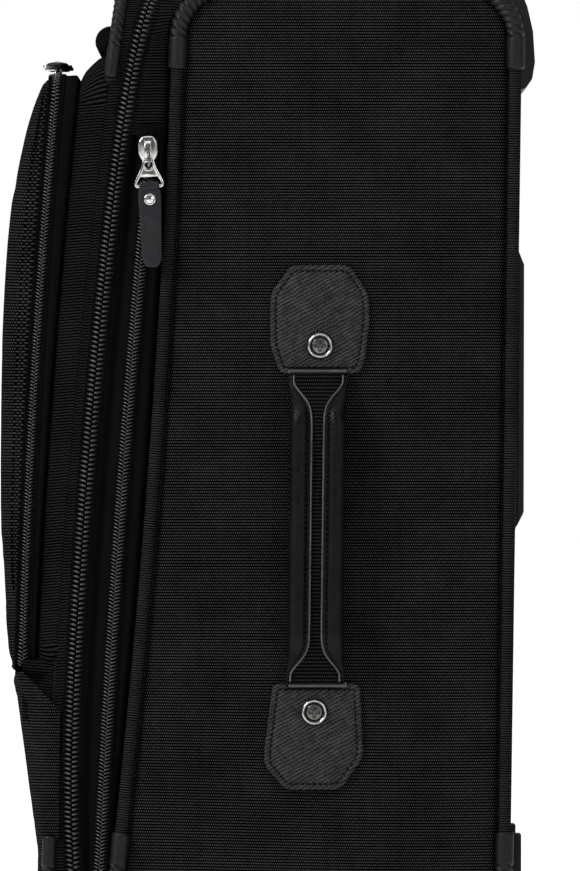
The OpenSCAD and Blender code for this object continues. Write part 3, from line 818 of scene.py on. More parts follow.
def upper_band():
    """The one cloth from the piping to the main zip over the top."""
    edge, normals = ring(0, main_line, foot=EXPANSION_TOP - 1)
    rear = rear_of_band(edge, normals)
    rows = [(0, 0, -4.0), (0, 1.6, -3.2), (0, 2.4, -0.6), (0, 3.6, 0.8), (0.25, 0, 1.5), (0.4, 0, 1.6),
            (0.55, 0, 1.6), (0.7, 0, 1.6), (1, -5.9, 1.5), (1, -5.3, 2.1), (1, -0.5, 1.8)]
    parts = swapped(band_grid(rear, edge, normals, rows))
    piece = add("upper_band_cloth", parts, RIBBED, None, "tape_fabric")
    high, low = expansion_line(EXPANSION_TOP), expansion_line(CASE_TOP)
    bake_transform(piece)


def lid_side():
    """The cloth from the main zip to the piping of the lid."""
    first, normals = close_loop(*ring(0, main_line))
    second, _ = close_loop(*ring(0, lid_edge))
    rows = [(0, 0.4, 1.2), (0.0, 4.4, 1.3), (0.0, 4.9, 0.9), (0.5, 0, 0.9), (1, -1.8, 0.8), (1, 0.6, 0.5)]
    add("lid_side_cloth", swapped(band_grid(first, second, normals, rows)), RIBBED, "lid", "ballistic_nylon")


# ---- zips ----

EXPANSION_CHAIN = dict(reach=3.7, pitch=1.86, thick=1.35, tape=4.3, slant=0.34, inner=-0.10)
MAIN_CHAIN = dict(reach=4.4, pitch=2.5, thick=1.9, tape=5.0, slant=0.2, inner=0.0)
POCKET_CHAIN = dict(reach=2.9, pitch=1.77, thick=1.2, tape=4.6, slant=0.34, inner=-0.10)
COIL_LIFT = 2.4


def quad_strips(first, sections, count):
    """Quads between the rings of one bar whose points start at first."""
    return [(a, b, b + count, a + count)
            for i in range(sections - 1)
            for a, b in ((first + i * count + j, first + i * count + (j + 1) % count) for j in range(count))]


def coil_teeth(path, normals, side, reach, pitch, thick, slant, inner):
    """One half of a coil zip: a rounded bar for each turn, slanting away from the middle."""
    path, normals = resample(path, normals, pitch)
    t, out, across = axes_along(path, normals)
    across *= np.sign(across[:, 1:2] + 1e-9) * side
    centre = path + t * (pitch / 2 if side > 0 else 0) + out * COIL_LIFT
    stations = np.array([inner, inner + 0.12, 0.36, 0.62, 0.88, 1.0]) * reach
    size = np.array([0.75, 1.1, 1.15, 0.95, 0.75, 0.45])
    drop = np.array([0.15, -0.15, -0.1, 0.25, 0.6, 1.1]) * thick
    count = 8
    angle = round_angles(count)
    rings = []
    for place, scale, sink in zip(stations, size, drop):
        middle = centre + across * place + t * (slant * place) - out * sink
        ring_points = (middle[:, None] + t[:, None] * (scale * pitch * 0.27 * np.cos(angle))[None, :, None]
                       + out[:, None] * (scale * thick * 0.6 * np.sin(angle))[None, :, None])
        rings.append(ring_points)
    grid = np.stack(rings, axis=1)
    teeth, sections = grid.shape[0], grid.shape[1]
    points = grid.reshape(-1, 3)
    faces = []
    for k in range(teeth):
        first = k * sections * count
        faces += quad_strips(first, sections, count)
        faces.append(tuple(first + j for j in range(count))[::-1])
        faces.append(tuple(first + (sections - 1) * count + j for j in range(count)))
    return points, faces, np.concatenate([points[list(f)][:, 1:] for f in faces]) * MM


def tape_edge(path, normals, side, far):
    """The woven strip that a coil is sewn to, far wide, with its doubled edge."""
    near, height = 0.2, 1.7
    across = np.cross(tangents(path), normals)
    across *= np.sign(across[:, 1:2] + 1e-9) * side
    profile = [(near, height - 0.5), (near + 0.3, height), (far - 1.4, height), (far - 0.9, height + 0.45),
               (far - 0.3, height + 0.4), (far, height - 0.2), (far, height - 1.4)]
    lines = [path + across * a + normals * h for a, h in profile]
    return grid_parts(np.stack(lines, axis=1), lengths(path), [a for a, _ in profile])


def stitches(path, normals, radius):
    """A row of sewn threads along a path, each a small arched bar."""
    pitch, length, count = 3.0, 2.0, 6
    path, normals = resample(path, normals, pitch)
    t, out, side = axes_along(path, normals)
    stations = np.array([-0.5, -0.38, 0, 0.38, 0.5]) * length
    rise = np.array([-0.45, 0.12, 0.3, 0.12, -0.45])
    angle = round_angles(count)
    rings = [(path + t * place + out * up)[:, None] + out[:, None] * (radius * np.cos(angle))[None, :, None]
             + side[:, None] * (radius * 1.3 * np.sin(angle))[None, :, None]
             for place, up in zip(stations, rise)]
    grid = np.stack(rings, axis=1)
    faces = []
    for k in range(grid.shape[0]):
        faces += quad_strips(k * len(stations) * count, len(stations), count)
    return grid.reshape(-1, 3), faces, np.zeros((4 * len(faces), 2))


def zip_half(name, path, normals, side, body, chain, replaces=()):
    """One half of a chain on its tape, on the rear (side 1) or the front (side -1) of its line."""
    sizes = {key: value for key, value in chain.items() if key != "tape"}
    add(name + "_coil", coil_teeth(path, normals, side, **sizes), COIL, body, "zip", replaces)
    add(name + "_tape", swapped(tape_edge(path, normals, side, chain["tape"])), TAPE, body, "zip")


def expansion_zip():
    path, normals = ring(0, expansion_line, top=EXPANSION_TOP)
    zip_half("expansion_zip_body", path, normals, 1, "case", EXPANSION_CHAIN, ["expansion_zip_body"])
    zip_half("expansion_zip_front", path, normals, -1, "front_frame", EXPANSION_CHAIN,
             ["expansion_zip_front"])


def main_zip():
    path, normals = ring(0, main_line, foot=ZIP_FOOT)
    zip_half("main_zip_body", path, normals, 1, "front_frame", MAIN_CHAIN, ["main_zip_body"])
    zip_half("main_zip_lid", path, normals, -1, "lid", MAIN_CHAIN, ["main_zip_lid"])


def bellows():
    """The folded cloth behind the expansion zip."""
    edge, normals = ring(-2.5, expansion_line, top=EXPANSION_TOP)
    share = np.clip((EXPANSION_TOP - edge[:, 2]) / (EXPANSION_TOP - CASE_BOTTOM), 0, 1)
    depth = 4 + 21 * share
    lines = []
    places = [(3.4, 0), (2.9, 0.08), (2.2, 0.3), (1.6, 0.6), (0.9, 0.9), (0, 1)]
    for place, fold in places + [(-p, f) for p, f in places[-2::-1]]:
        lines.append(edge + np.array([0, place, 0]) - normals * (depth * fold)[:, None])
    grid = np.stack(lines, axis=1)
    parts = grid_parts(grid, lengths(edge), np.linspace(0, 48, len(lines)))
    piece = add("expansion_bellows", parts, TWILL, None, "tape_fabric", ["expansion_gusset"])
    low, high = 100, 440
    rear = expansion_line(low) + 3
    lean = (expansion_line(high) - expansion_line(low)) / (high - low)
    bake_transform(piece)
    length = lengths(edge)[-1]


# ---- the lid ----

def lid_front():
    """The cloth over the front of the lid, behind the pocket."""
    inset = 3.4
    rows, columns = eased(120), eased(100)
    z = LID_FOOT + inset + (LID_TOP - LID_FOOT - 2 * inset) * rows
    r = RING_R - inset
    low, high = LID_FOOT + RING_R, LID_TOP - RING_R
    lift = np.clip((z - high) / r, 0, 1) + np.clip((low - z) / r, 0, 1)
    half = BAND_X - inset - r * (1 - np.sqrt(1 - lift ** 2))
    x = half[:, None] * (2 * columns - 1)[None]
    z = np.repeat(z[:, None], len(columns), axis=1)
    edge = edge_distance(rows, columns, 500, 350)
    y = lid_edge(z) - 2.8 - 1.2 * (1 - np.exp(-edge / 20)) + 2.4 * np.exp(-edge / 2.0) + ripple(x, z, 0.3, 2)
    piece = add("lid_front_cloth", cloth_grid(x, y, z, x, z), BALLISTIC, "lid", "ballistic_nylon",
                ["lid_panel"])


def lid_piping():
    """The piping round the lid, thinner where other cloth covers it."""
    grow = 0.6
    path, normals = ring(grow, lid_edge)
    high, low = LID_TOP - RING_R, 91
    top, foot = LID_TOP + grow, LID_FOOT - grow
    under = (np.abs(path[:, 0]) > 140) & ((path[:, 2] > high) | (path[:, 2] < low))
    tucked = (np.abs(path[:, 0]) > 150) & (path[:, 2] < 500) & (path[:, 2] > 104)
    scale = np.where(under, 0.72, np.where(tucked, 0.5, 1.0))
    tube = sweep(path - normals * (4.5 * tucked)[:, None], normals, circle(3.2, 16), True, scale=scale)
    add("lid_piping_tube", swapped(tube), PIPE_CLOTH, "lid", "piping_fabric", ["lid_piping"])
    step = 0.5
    path, normals = resample(path, normals, step, closed=True)
    x = BAND_X + grow
    corners = [((138, lid_edge(foot), foot), (x, lid_edge(low), low)),
               ((x, lid_edge(high), high), (138, lid_edge(top), top)),
               ((-138, lid_edge(top), top), (-x, lid_edge(high), high)),
               ((-x, lid_edge(low), low), (-138, lid_edge(foot), foot))]
    add("lid_corner_rope", guards(path, normals, corners, 15, 3.5, step), TRIM, "lid", "moulded_trim",
        ["lid_corner_guards"])


def front_welt():
    """The half-round roll across the top of the lid."""
    x = np.linspace(-158, 158, 120)
    path = np.column_stack([x, np.full(len(x), -88.6), np.full(len(x), 519.5)])
    normals = np.tile([0.0, -1.0, 0.0], (len(x), 1))
    scale = np.sqrt(np.clip(1 - (np.clip(np.abs(x) - 149, 0, 9) / 9.2) ** 2, 0.04, 1))
    tube = capped(sweep(path, normals, circle(8.2, 24), scale=scale), 24)
    add("front_welt_roll", swapped(tube), TWILL, "lid", "ballistic_nylon", ["front_welt"])


def pocket_ring(line, above=None):
    """The loop round the pocket's front, from the middle of its foot up the +X side and round."""
    flat, out = rounded_points(POCKET_X, POCKET_LOW, POCKET_HIGH, POCKET_R, corner_steps=10)
    if above is not None:
        keep = flat[:, 1] > above
        flat, out = flat[keep], out[keep]
    path = np.column_stack([flat[:, 0], line(flat[:, 1]), flat[:, 1]])
    return path, np.column_stack([out[:, 0], 0 * out[:, 0], out[:, 1]])


def pocket_sides():
    """The pocket's ribbed gusset with a smooth band in front of it, and the slope above them."""
    second, normals = close_loop(*pocket_ring(pocket_line))
    first, _ = close_loop(*pocket_ring(lambda z: lid_edge(z) - 3.2))
    spread = 1 - np.clip(-normals[:, 2], 0, 1) ** 2

    width = second - first
    along = unit(width)

    def line(share, offset, height, shoulder):
        return first + width * share + along * offset + normals * (height + shoulder * spread)[:, None]

    rear = [(0, -2.4, -0.2, 12.4), (0, 0.8, 0.2, 11.6), (0.14, 0, 0.6, 9.6), (0.28, 0, 0.8, 6.2),
            (0.4, 0, 0.9, 3.0), (0.5, -1.2, 0.7, 1.0), (0.52, 0, -2.0, 0.0)]
    front = [(0.52, 0, -2.0, 0.0), (0.52, 1.0, 0.9, 0.5), (0.6, 0, 1.5, 0.5), (0.8, 0, 1.5, 0.3),
             (1, -4.0, 1.2, 0.0), (1, -3.4, 1.9, 0.0), (1, -0.3, 1.4, 0.0)]
    s = lengths(first)
    for rows, places, name, material, slot, stands_for in (
            (rear, (0, 3.2, 6, 9, 12, 14, 16), "cloth", RIBBED, "ballistic_nylon", ["pocket_gusset"]),
            (front, (0, 2, 4, 6, 9, 10, 13), "band", TWILL, "tape_fabric", [])):
        grid = np.stack([line(*row) for row in rows], axis=1)
        add("pocket_gusset_" + name, swapped(grid_parts(grid, s, places)), material, "lid", slot, stands_for)


def side_skirt():
    """The gusset's foot on each side, below the pocket, cut off on a slant by the lower panel."""
    z = np.linspace(POCKET_LOW + 6, POCKET_LOW - 26, 14)
    share = np.linspace(0, 1, 10)
    rear, front = lid_edge(z) - 2.5, pocket_line(POCKET_LOW) + 0 * z
    y = rear[:, None] + (front - rear)[:, None] * share[None]
    z = np.repeat(z[:, None], len(share), axis=1)
    taper = np.clip(1 - share / 0.5, 0, 1) * np.ones_like(y)
    parts = cloth_grid(POCKET_X + 0.8 + 6.0 * taper, y, z, y, z)
    add("pocket_gusset_skirts", join_parts([parts, mirrored(parts)]), RIBBED, "lid", "ballistic_nylon")


def pocket_zip():
    path, normals = pocket_ring(pocket_line, above=POCKET_LOW + 3)
    zip_half("pocket_zip_rear", path, normals, 1, "lid", POCKET_CHAIN)
    zip_half("pocket_zip_front", path, normals, -1, "pocket", POCKET_CHAIN)


PANEL_SWELL = 3.6      # how much smaller a panel starts, as its cloth swells


def rolled(distance, reach, power=2.2):
    """Share of the way out that a stuffed front has risen at this distance from its edge."""
    d = np.clip(distance / reach, 0, 1)
    return (1 - (1 - d) ** power) ** (1 / power)


def pocket_panel():
    """The padded front of the pocket, rolled over its stuffed edge."""
    past = 0.2
    rows, columns = eased(150, 2.4), eased(150, 2.4)
    z = POCKET_LOW + (POCKET_HIGH - POCKET_LOW) * rows
    r = POCKET_R
    lift = np.clip((z - POCKET_HIGH + r) / r, 0, 1) + np.clip((POCKET_LOW + r - z) / r, 0, 1)
    half = POCKET_X + past - r * (1 - np.sqrt(np.clip(1 - lift ** 2, 0, 1)))
    x = half[:, None] * (2 * columns - 1)[None]
    z = np.repeat(z[:, None], len(columns), axis=1)
    side = half[:, None] - np.abs(x)
    tall = POCKET_HIGH - POCKET_LOW
    above = np.repeat(np.minimum(rows * tall * 9.0, (1 - rows) * tall)[:, None], len(columns), axis=1)
    reach = 20.0
    near = reach - np.hypot(np.clip(reach - side, 0, None), np.clip(reach - above, 0, None))
    share = rolled(np.clip(near, 0, reach), reach)
    rear = pocket_line(z) - 4.2
    seam = np.exp(-((share - 0.36) / 0.04) ** 2)
    lip = np.exp(-((share - 0.46) / 0.05) ** 2)
    y = rear + (pocket_face(z) - 1.0 - rear) * share
    y = y - 0.35 * ripple(x, z, 1.0, 5) * share + PANEL_SWELL * share * np.clip(near / reach, 0, 1)
    shrink = 1 - (2.4 * seam - 0.6 * lip) / POCKET_X
    y = y + 0.54 * seam * (share > 0.1)
    u = np.where(side < reach, np.sign(x) * (POCKET_X - reach + (reach - near) * 1.2), x)
    piece = add("pocket_panel_cloth", cloth_grid(x * shrink, y, z, u, z), BALLISTIC, None, "ballistic_nylon")
    pins = np.flatnonzero((near < 0.8) | (seam > 0.6)).tolist()
    settle(piece, pins, 0.004)
    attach(piece, "pocket")
    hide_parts("pocket_panel")


def pocket_back():
    """The pocket's lining, its cloth hinge and the cloth that closes the top of the lower panel."""
    z = np.linspace(POCKET_LOW + 2, POCKET_HIGH - 2, 70)
    r = POCKET_R
    lift = np.clip((z - POCKET_HIGH + r) / r, 0, 1) + np.clip((POCKET_LOW + r - z) / r, 0, 1)
    half = POCKET_X - 2.5 - 12 * (1 - np.sqrt(np.clip(1 - lift ** 2, 0, 1)))
    x = half[:, None] * np.linspace(-1, 1, 60)[None]
    z = np.repeat(z[:, None], 60, axis=1)
    y = pocket_line(z) - 3.0 - 0.5 * np.sin(x / 27) * np.sin(z / 36)
    piece = add("pocket_lining_cloth", cloth_grid(x, y, z, x, z), LINING, "pocket", "lining_fabric")
    across = np.linspace(0, 1, 13)
    foot = pocket_line(POCKET_LOW)
    x = np.linspace(-152, 152, 90)
    bead = np.column_stack([x, np.full(len(x), foot - 2.3), np.full(len(x), POCKET_LOW + 1.2)])
    tube = capped(sweep(bead, np.tile([0.0, 0.0, 1.0], (len(x), 1)), circle(2.3)), 16)
    add("pocket_foot_bead", swapped(tube), PIPE_CLOTH, "lid", "piping_fabric")
    xx, tt = np.meshgrid(np.linspace(-158, 158, 60), across, indexing="ij")
    y = foot + 4 - 9.5 * tt
    z = POCKET_LOW + 0.6 + 3.2 * np.sin(tt * math.pi)
    piece = add("pocket_hinge_cloth", cloth_grid(xx, y, z, xx, y), TWILL, None, "tape_fabric")
    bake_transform(piece)
    xx, tt = np.meshgrid(np.linspace(-171.5, 171.5, 60), across, indexing="ij")
    front, rear = lower_face(POCKET_LOW) - 0.3, lid_edge(POCKET_LOW) - 2
    corner = 10 * (1 - np.sqrt(1 - np.clip((np.abs(xx) - 160) / 12, 0, 1) ** 2))
    y = (front + corner) + (rear - front - corner) * tt
    z = POCKET_LOW - 0.9 - 0.3 * np.sin(tt * math.pi)
    piece = add("lower_panel_top_cloth", cloth_grid(xx, y, z, xx, y), TWILL, "lid", "ballistic_nylon")


SETTLE_FRAMES = 20


def settle(piece, pins, cap):
    """Lets the cloth find its shape over its padding; pinned points stay and none moves beyond cap."""
    rest = np.array([v.co[:] for v in piece.data.vertices])
    group = piece.vertex_groups.new(name="pins")
    group.add(pins, 1.0, "REPLACE")
    cloth = piece.modifiers.new("settle", "CLOTH")
    for name, value in dict(vertex_group_mass="pins", quality=5, mass=0.15, tension_stiffness=12,
                            compression_stiffness=12, shear_stiffness=6, bending_stiffness=0.4,
                            shrink_min=-0.008, use_pressure=True, uniform_pressure_force=4.0).items():
        setattr(cloth.settings, name, value)
    cloth.settings.effector_weights.gravity = 0
    cloth.collision_settings.use_collision = False
    cloth.point_cache.frame_start, cloth.point_cache.frame_end = 1, SETTLE_FRAMES
    scene = bpy.context.scene
    for step in range(1, SETTLE_FRAMES + 1):
        scene.frame_set(step)
    seen = piece.evaluated_get(bpy.context.evaluated_depsgraph_get())
    moved = np.array([v.co[:] for v in seen.data.vertices]) - rest
    piece.modifiers.remove(cloth)
    piece.vertex_groups.clear()
    scene.frame_set(1)
    size = np.linalg.norm(moved, axis=1, keepdims=True)
    moved *= np.minimum(1, cap / np.maximum(size, 1e-9))
    for vertex, place in zip(piece.data.vertices, rest + moved):
        vertex.co = place
    piece.data.update()


def lower_panel():
    """The padded panel under the pocket, whose flanks wrap back to the lid's piping."""
    top, bottom = POCKET_LOW - 0.6, 56
    z = top - (top - bottom) * eased(80, 1.8)
    r = 13.0
    half = 172.5
    skirt_z = 171.6
    rows = []
    uvs = []
    for height in z:
        front = lower_face(height)
        reach = np.clip((height - 96) / 8, 0, 1)
        rear = (lid_edge(height) - 1.6) * (1 - reach) + (main_line(height) - 6.4) * reach
        if height > skirt_z:
            rear = min(rear, -115 - (height - skirt_z) * 18 / 18.4)
        foot = np.clip((height - bottom) / 22, 0, 1)
        tuck = 1 - math.sqrt(max(0.0, 1 - (1 - foot) ** 2))
        head = np.clip((top - height) / 1.5, 0, 1)
        dip = 1 - math.sqrt(max(0.0, 1 - (1 - head) ** 2))
        room = PANEL_SWELL * np.clip(min(height - bottom, POCKET_LOW - height) / 14, 0, 1)
        front = front - 0.8 + tuck * (lid_edge(height) - 3.5 - front) + dip * 0.8 + 0.75 * room
        wide = half - 10 * tuck
        corner = min(r, 0.9 * (rear - front))
        angle = np.linspace(0, math.pi / 2, 12)
        left = [(-wide, rear - (rear - front - corner) * k / 24) for k in range(24)]
        left += [(-wide + corner * (1 - math.cos(a)), front + corner * (1 - math.sin(a))) for a in angle]
        seam = lid_edge(height)
        left = [(x - 7.4 * float(np.clip((y - seam + 12) / 9, 0, 1)) ** 0.8 * reach, y) for x, y in left]
        middle = [(x, front) for x in np.linspace(-wide + corner, wide - corner, 60)[1:-1]]
        line = np.array(left + middle + [(-x, y) for x, y in left[::-1]])
        rows.append(np.column_stack([line[:, 0], line[:, 1], np.full(len(line), height)]))
        s = lengths(rows[-1])
        uvs.append(s - s[-1] / 2)
    grid = np.stack(rows)
    u = np.stack(uvs)
    v = np.repeat(z[:, None], grid.shape[1], axis=1)
    grid[..., 1] += ripple(grid[..., 0], grid[..., 2], 0.35, 7)
    piece = add("lower_panel_cloth", grid_parts(grid, u, v), BALLISTIC, None, "ballistic_nylon")
    m, n = grid.shape[:2]
    over_lid = np.abs(grid[..., 0]) > 173.2
    pins = [i * n + j for i in range(m) for j in range(n)
            if i in (0, m - 1) or j in (0, 1, n - 2, n - 1) or over_lid[i, j]]
    settle(piece, pins, 0.003)
    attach(piece, "lid")
    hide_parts("lid_lower_panel")


# ---- shapes with an outline ----

def smooth_outline(corners, r=4.0, step=1.2):
    """A polygon with its corners rounded, as evenly spaced points, counter-clockwise."""
    corners = [np.array(c, float) for c in corners]
    points = []
    for k, corner in enumerate(corners):
        before, after = corners[k - 1], corners[(k + 1) % len(corners)]
        a, b = before - corner, after - corner
        reach = min(r, 0.45 * np.linalg.norm(a), 0.45 * np.linalg.norm(b))
        start, stop = corner + a / np.linalg.norm(a) * reach, corner + b / np.linalg.norm(b) * reach
        for t in np.linspace(0, 1, 7):
            points.append((1 - t) ** 2 * start + 2 * t * (1 - t) * corner + t ** 2 * stop)
    points = np.array(points)
    loop = np.vstack([points, points[:1]])
    s = lengths(loop)
    count = int(s[-1] / step)
    t = np.linspace(0, s[-1], count + 1)[:-1]
    even = np.stack([np.interp(t, s, loop[:, k]) for k in (0, 1)], axis=1)
    area = np.sum(even[:, 0] * np.roll(even[:, 1], -1) - np.roll(even[:, 0], -1) * even[:, 1])
    return even if area > 0 else even[::-1]


def outline_normals(outline):
    step = tangents(outline, True)
    return np.stack([step[:, 1], -step[:, 0]], axis=1)


def raised(outline, place, height):
    return place(outline[:, 0], outline[:, 1], np.full(len(outline), height))


def plate_parts(outline, levels, place, dome=()):
    """A plate from loops: levels are (inset, height) and dome (share of the last loop, height)."""
    out = outline_normals(outline)
    count = len(outline)
    flat = [outline - out * inset for inset, _ in levels]
    middle = flat[-1].mean(axis=0)
    flat += [middle + (flat[len(levels) - 1] - middle) * share for share, _ in dome]
    heights = [height for _, height in (*levels, *dome)]
    faces = [list(face) for face in quad_strips(0, len(flat), count)]
    faces.append([(len(flat) - 1) * count + j for j in range(count)])
    faces.append(list(range(count))[::-1])
    flat_points = np.concatenate(flat)
    uv = np.concatenate([flat_points[face] for face in faces]) * MM
    return np.concatenate([raised(loop, place, height) for loop, height in zip(flat, heights)]), faces, uv


def lathe_parts(profile, place, count=48, depth=None):
    """A turned shape: profile of (radius, height) from its foot to its middle, about the h axis."""
    profile = np.array(profile, float)
    angle = round_angles(count)
    a = profile[:, 0][:, None] * np.cos(angle)
    b = profile[:, 0][:, None] * np.sin(angle)
    h = np.repeat(profile[:, 1][:, None], count, axis=1)
    if depth is not None:
        h = h - depth(a, b)
    return grid_parts(place(a, b, h), profile[:, 0], angle * 5, False, True)


def on_side(a, b, h):
    """A drawing that stands on the right side: a towards the rear, b up, h outwards."""
    return np.stack([PANEL_X + 1.1 + h, HANDLE_Y + a, HANDLE_Z + b], axis=-1)


def on_top(a, b, h):
    """A drawing that lies on the top: a towards the rear, b towards +X, h up."""
    return np.stack([0 * h + b, TOP_HANDLE_Y + a, PANEL_TOP + h], axis=-1)


# ---- carry handles ----

UPPER_PATCH = [(-18.5, 80.5), (22.5, 80.5), (25, 87), (27.8, 108.5), (27, 122.5), (17.5, 137), (-13, 137),
               (-24.2, 122), (-24.2, 96), (-21, 85)]
LOWER_PATCH = [(-22.9, -80.5), (22.6, -80.5), (24.4, -119), (12.2, -136), (-16.4, -136), (-27.3, -123),
               (-27.3, -116)]
PATCH_LEVELS = [(0.0, 0.0), (0.0, 1.5), (0.35, 2.2), (1.0, 2.5), (2.5, 2.55), (2.9, 2.1), (3.3, 2.1),
                (3.8, 2.6)]
PATCH_DOME = [(0.85, 2.75), (0.6, 2.85), (0.35, 2.9), (0.1, 2.9)]


def cross_recess(a, b):
    """A Phillips cross sunk into a screw's head."""
    wide, long, deep = 0.8, 3.0, 1.3
    arm = np.minimum(np.abs(a), np.abs(b))
    reach = np.maximum(np.abs(a), np.abs(b))
    return deep * np.clip((wide - arm) / 0.3, 0, 1) * np.clip((long - reach) / 0.4, 0, 1)


def screw_parts(at, place, lift):
    """A screw in a cup washer: the washer's skirt, its bright rolled rim and the head."""
    def here(a, b, h):
        return place(a + at[0], b + at[1], h + lift)

    skirt = [(7.3, 0.0), (7.2, 0.5), (6.6, 1.7), (6.3, 2.0), (5.6, 2.0), (5.0, 1.5), (4.4, 0.7), (3.0, 0.6)]
    rim = [(6.35, 1.8), (6.2, 2.2), (5.85, 2.35), (5.5, 2.2), (5.3, 1.6)]
    head = [(4.1, 0.6), (4.1, 1.4), (3.9, 1.8)] + [(r, 1.8 + 0.5 * (1 - (r / 3.9) ** 2))
                                                   for r in np.linspace(3.7, 0.02, 26)]
    recessed = lathe_parts(head, here, 72, cross_recess)
    return lathe_parts(skirt, here, 64), lathe_parts(rim, here, 64), recessed


def patch_stitches(outline, place):
    inset, lift = 3.1, 2.3
    loop = outline - outline_normals(outline) * inset
    loop = np.vstack([loop, loop[:1]])
    path = raised(loop, place, lift)
    return stitches(path, raised(loop, place, lift + 1) - path, 0.32)


def patches():
    """The leather patches of both handles, with their stitches, screws and bright bars."""
    leather, thread, skirts, rims, heads, bars = [], [], [], [], [], []
    longer = [(a, b + 3.5) for a, b in UPPER_PATCH]
    sets = [(on_side, UPPER_PATCH, (1.8, 95.0), 1), (on_side, LOWER_PATCH, (-1.2, -95.5), -1),
            (on_top, longer, (1.8, 98.5), 1), (on_top, [(a, -b) for a, b in longer], (1.8, -98.5), -1)]
    for place, corners, screw_at, end in sets:
        outline = smooth_outline(corners)
        leather.append(plate_parts(outline, PATCH_LEVELS, place, dome=PATCH_DOME))
        thread.append(patch_stitches(outline, place))
        for group, part in zip((skirts, rims, heads), screw_parts(screw_at, place, 2.7)):
            group.append(part)
        near = min(abs(b) for _, b in corners)
        bar = smooth_outline([(-15, end * (near - 0.6)), (16, end * (near - 0.6)), (16, end * (near + 2.2)),
                              (-15, end * (near + 2.2))], 1.2, 0.5)
        bars.append(plate_parts(bar, [(0, 0), (0, 2.4), (0.3, 3.0), (0.8, 3.3)], place))
    add("handle_patch_leather", join_parts(leather), LEATHER, "case", "leather", ["handle_patches"])
    add("handle_patch_stitches", join_parts(thread), THREAD, "case", "leather")
    add("handle_patch_edges", join_parts(bars), PALE_EDGE, "case", "leather")
    add("handle_screw_washers", join_parts(skirts), GUNMETAL, "case", "steel", ["handle_screws"])
    add("handle_screw_rims", join_parts(rims), CHROME, "case", "steel")
    add("handle_screw_heads", join_parts(heads), GUNMETAL, "case", "steel")


def grip_lift(b, half):
    """Height of the middle of a grip above the patches' foot, along its length."""
    e = np.clip((half - np.abs(b)) / 26, 0, 1)
    return 4.6 + 10.4 * (e * e * (3 - 2 * e))


def grip_half(end, half, place, lean):
    """One half of a grip: two stitched leather tubes over ribbed webbing, flared open at the end."""
    b = end * np.concatenate([np.linspace(0, half - 36, 30), np.linspace(half - 35, half - 0.4, 46)])
    tip = half - np.abs(b)
    lift = grip_lift(b, half)
    wide = 14.6 + 0.9 * np.exp(-tip / 6)
    flare = np.exp(-(np.clip(tip - 3, 0, None) / 9.5) ** 2)
    slit = 3.1 + 9.6 * flare
    thick = 0.45 + 0.55 * np.clip(tip / 20, 0, 1) ** 0.7
    leather, edges, thread = [], [], []
    for side in (-1, 1):
        rows = []
        for k in range(len(b)):
            w, g = wide[k], slit[k]
            radius = min(5.4, 0.5 * (w - g))
            tall = radius * 1.02 * thick[k]
            centre = w - radius
            angle = np.linspace(math.radians(128), -math.radians(120), 22)
            tube = [(centre + radius * math.cos(a), tall * math.sin(a)) for a in angle]
            flange = 2.0 * thick[k] + 0.6
            start = [(g, flange - 1.3), (g, flange - 0.3), (g + 0.25, flange), (g + 1.3, flange + 0.05),
                     (g + 1.9, flange - 0.15), (g + 2.3, flange - 0.15), (g + 2.9, flange + 0.05)]
            limit = centre - 0.55 * radius
            start = [(min(a, max(g, limit - 0.1 * (6 - i))), h) for i, (a, h) in enumerate(start)]
            back = [(g + 1.5, -tall * 0.9), (g, -tall * 0.8)]
            rows.append(np.array(start + tube + back))
        profile = np.stack(rows)
        a = side * profile[..., 0] + lean * b[:, None]
        grid = place(a, np.repeat(b[:, None], profile.shape[1], axis=1), lift[:, None] + profile[..., 1])
        leather.append(grid_parts(grid, b, lengths(profile[10]), False, True))

        def along(beside, above, kept):
            """A line beside the slit, and the direction up from it."""
            a, h = (side * (slit + beside) + lean * b)[kept], (lift + 2.0 * thick + above)[kept]
            path = place(a, b[kept], h)
            return path, place(a, b[kept], h + 1) - path

        edges.append(sweep(*along(0.1, 0.35, tip > -1), circle(0.55, 8)))
        thread.append(stitches(*along(2.1, 0.55, tip > 12), 0.3))
    strip = np.array([(-14.6, 0.3), (-13.5, 0.9), (-4, 1.0), (4, 1.0), (13.5, 0.9), (14.6, 0.3), (14.6, -0.9),
                      (13.5, -1.5), (-13.5, -1.5), (-14.6, -0.9)])
    reach = np.concatenate([b, end * np.array([half + 1.5, half + 4.0])])
    height = grip_lift(reach, half)
    height[-2:] = [2.0, 1.4]
    tips = np.clip(half - np.abs(reach), 0, None)
    width = (14.2 + 1.2 * np.exp(-tips / 6)) / 14.6
    a = strip[None, :, 0] * width[:, None] + lean * reach[:, None]
    h = strip[None, :, 1] + height[:, None]
    grid = place(a, np.repeat(reach[:, None], len(strip), axis=1), h)
    web = capped(grid_parts(grid, reach, (0, 1, 10, 18, 28, 29, 30, 31, 58, 59), False, True), len(strip))
    return join_parts(leather), join_parts(edges), join_parts(thread), web


def grip(name, node, half, place, lean):
    """Both halves of a grip."""
    for end, part in ((1, "first"), (-1, "second")):
        leather, edges, thread, web = grip_half(end, half, place, lean)
        start, stop = (place(np.array(0.0), np.array(end * (half + past)), np.array(0.0)) * MM
                       for past in (1.0, -30.0))
        for suffix, parts, material, slot in (("leather", leather, GRIP_LEATHER, "leather"),
                                              ("edges", edges, PALE_EDGE, "leather"),
                                              ("stitches", thread, THREAD, "leather"),
                                              ("webbing", swapped(web), WEBBING, "webbing")):
            stands_for = [node] if suffix == "leather" else []
            piece = add(f"{name}_{suffix}_{part}", parts, material, None, slot, stands_for)
            tuple(start)
            tuple(stop)
            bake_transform(piece)


def handles():
    patches()
    grip("side_grip", "side_handle_grip", 80.0, on_side, 0.012)
    grip("top_grip", "top_handle_grip", 83.5, on_top, 0.0)


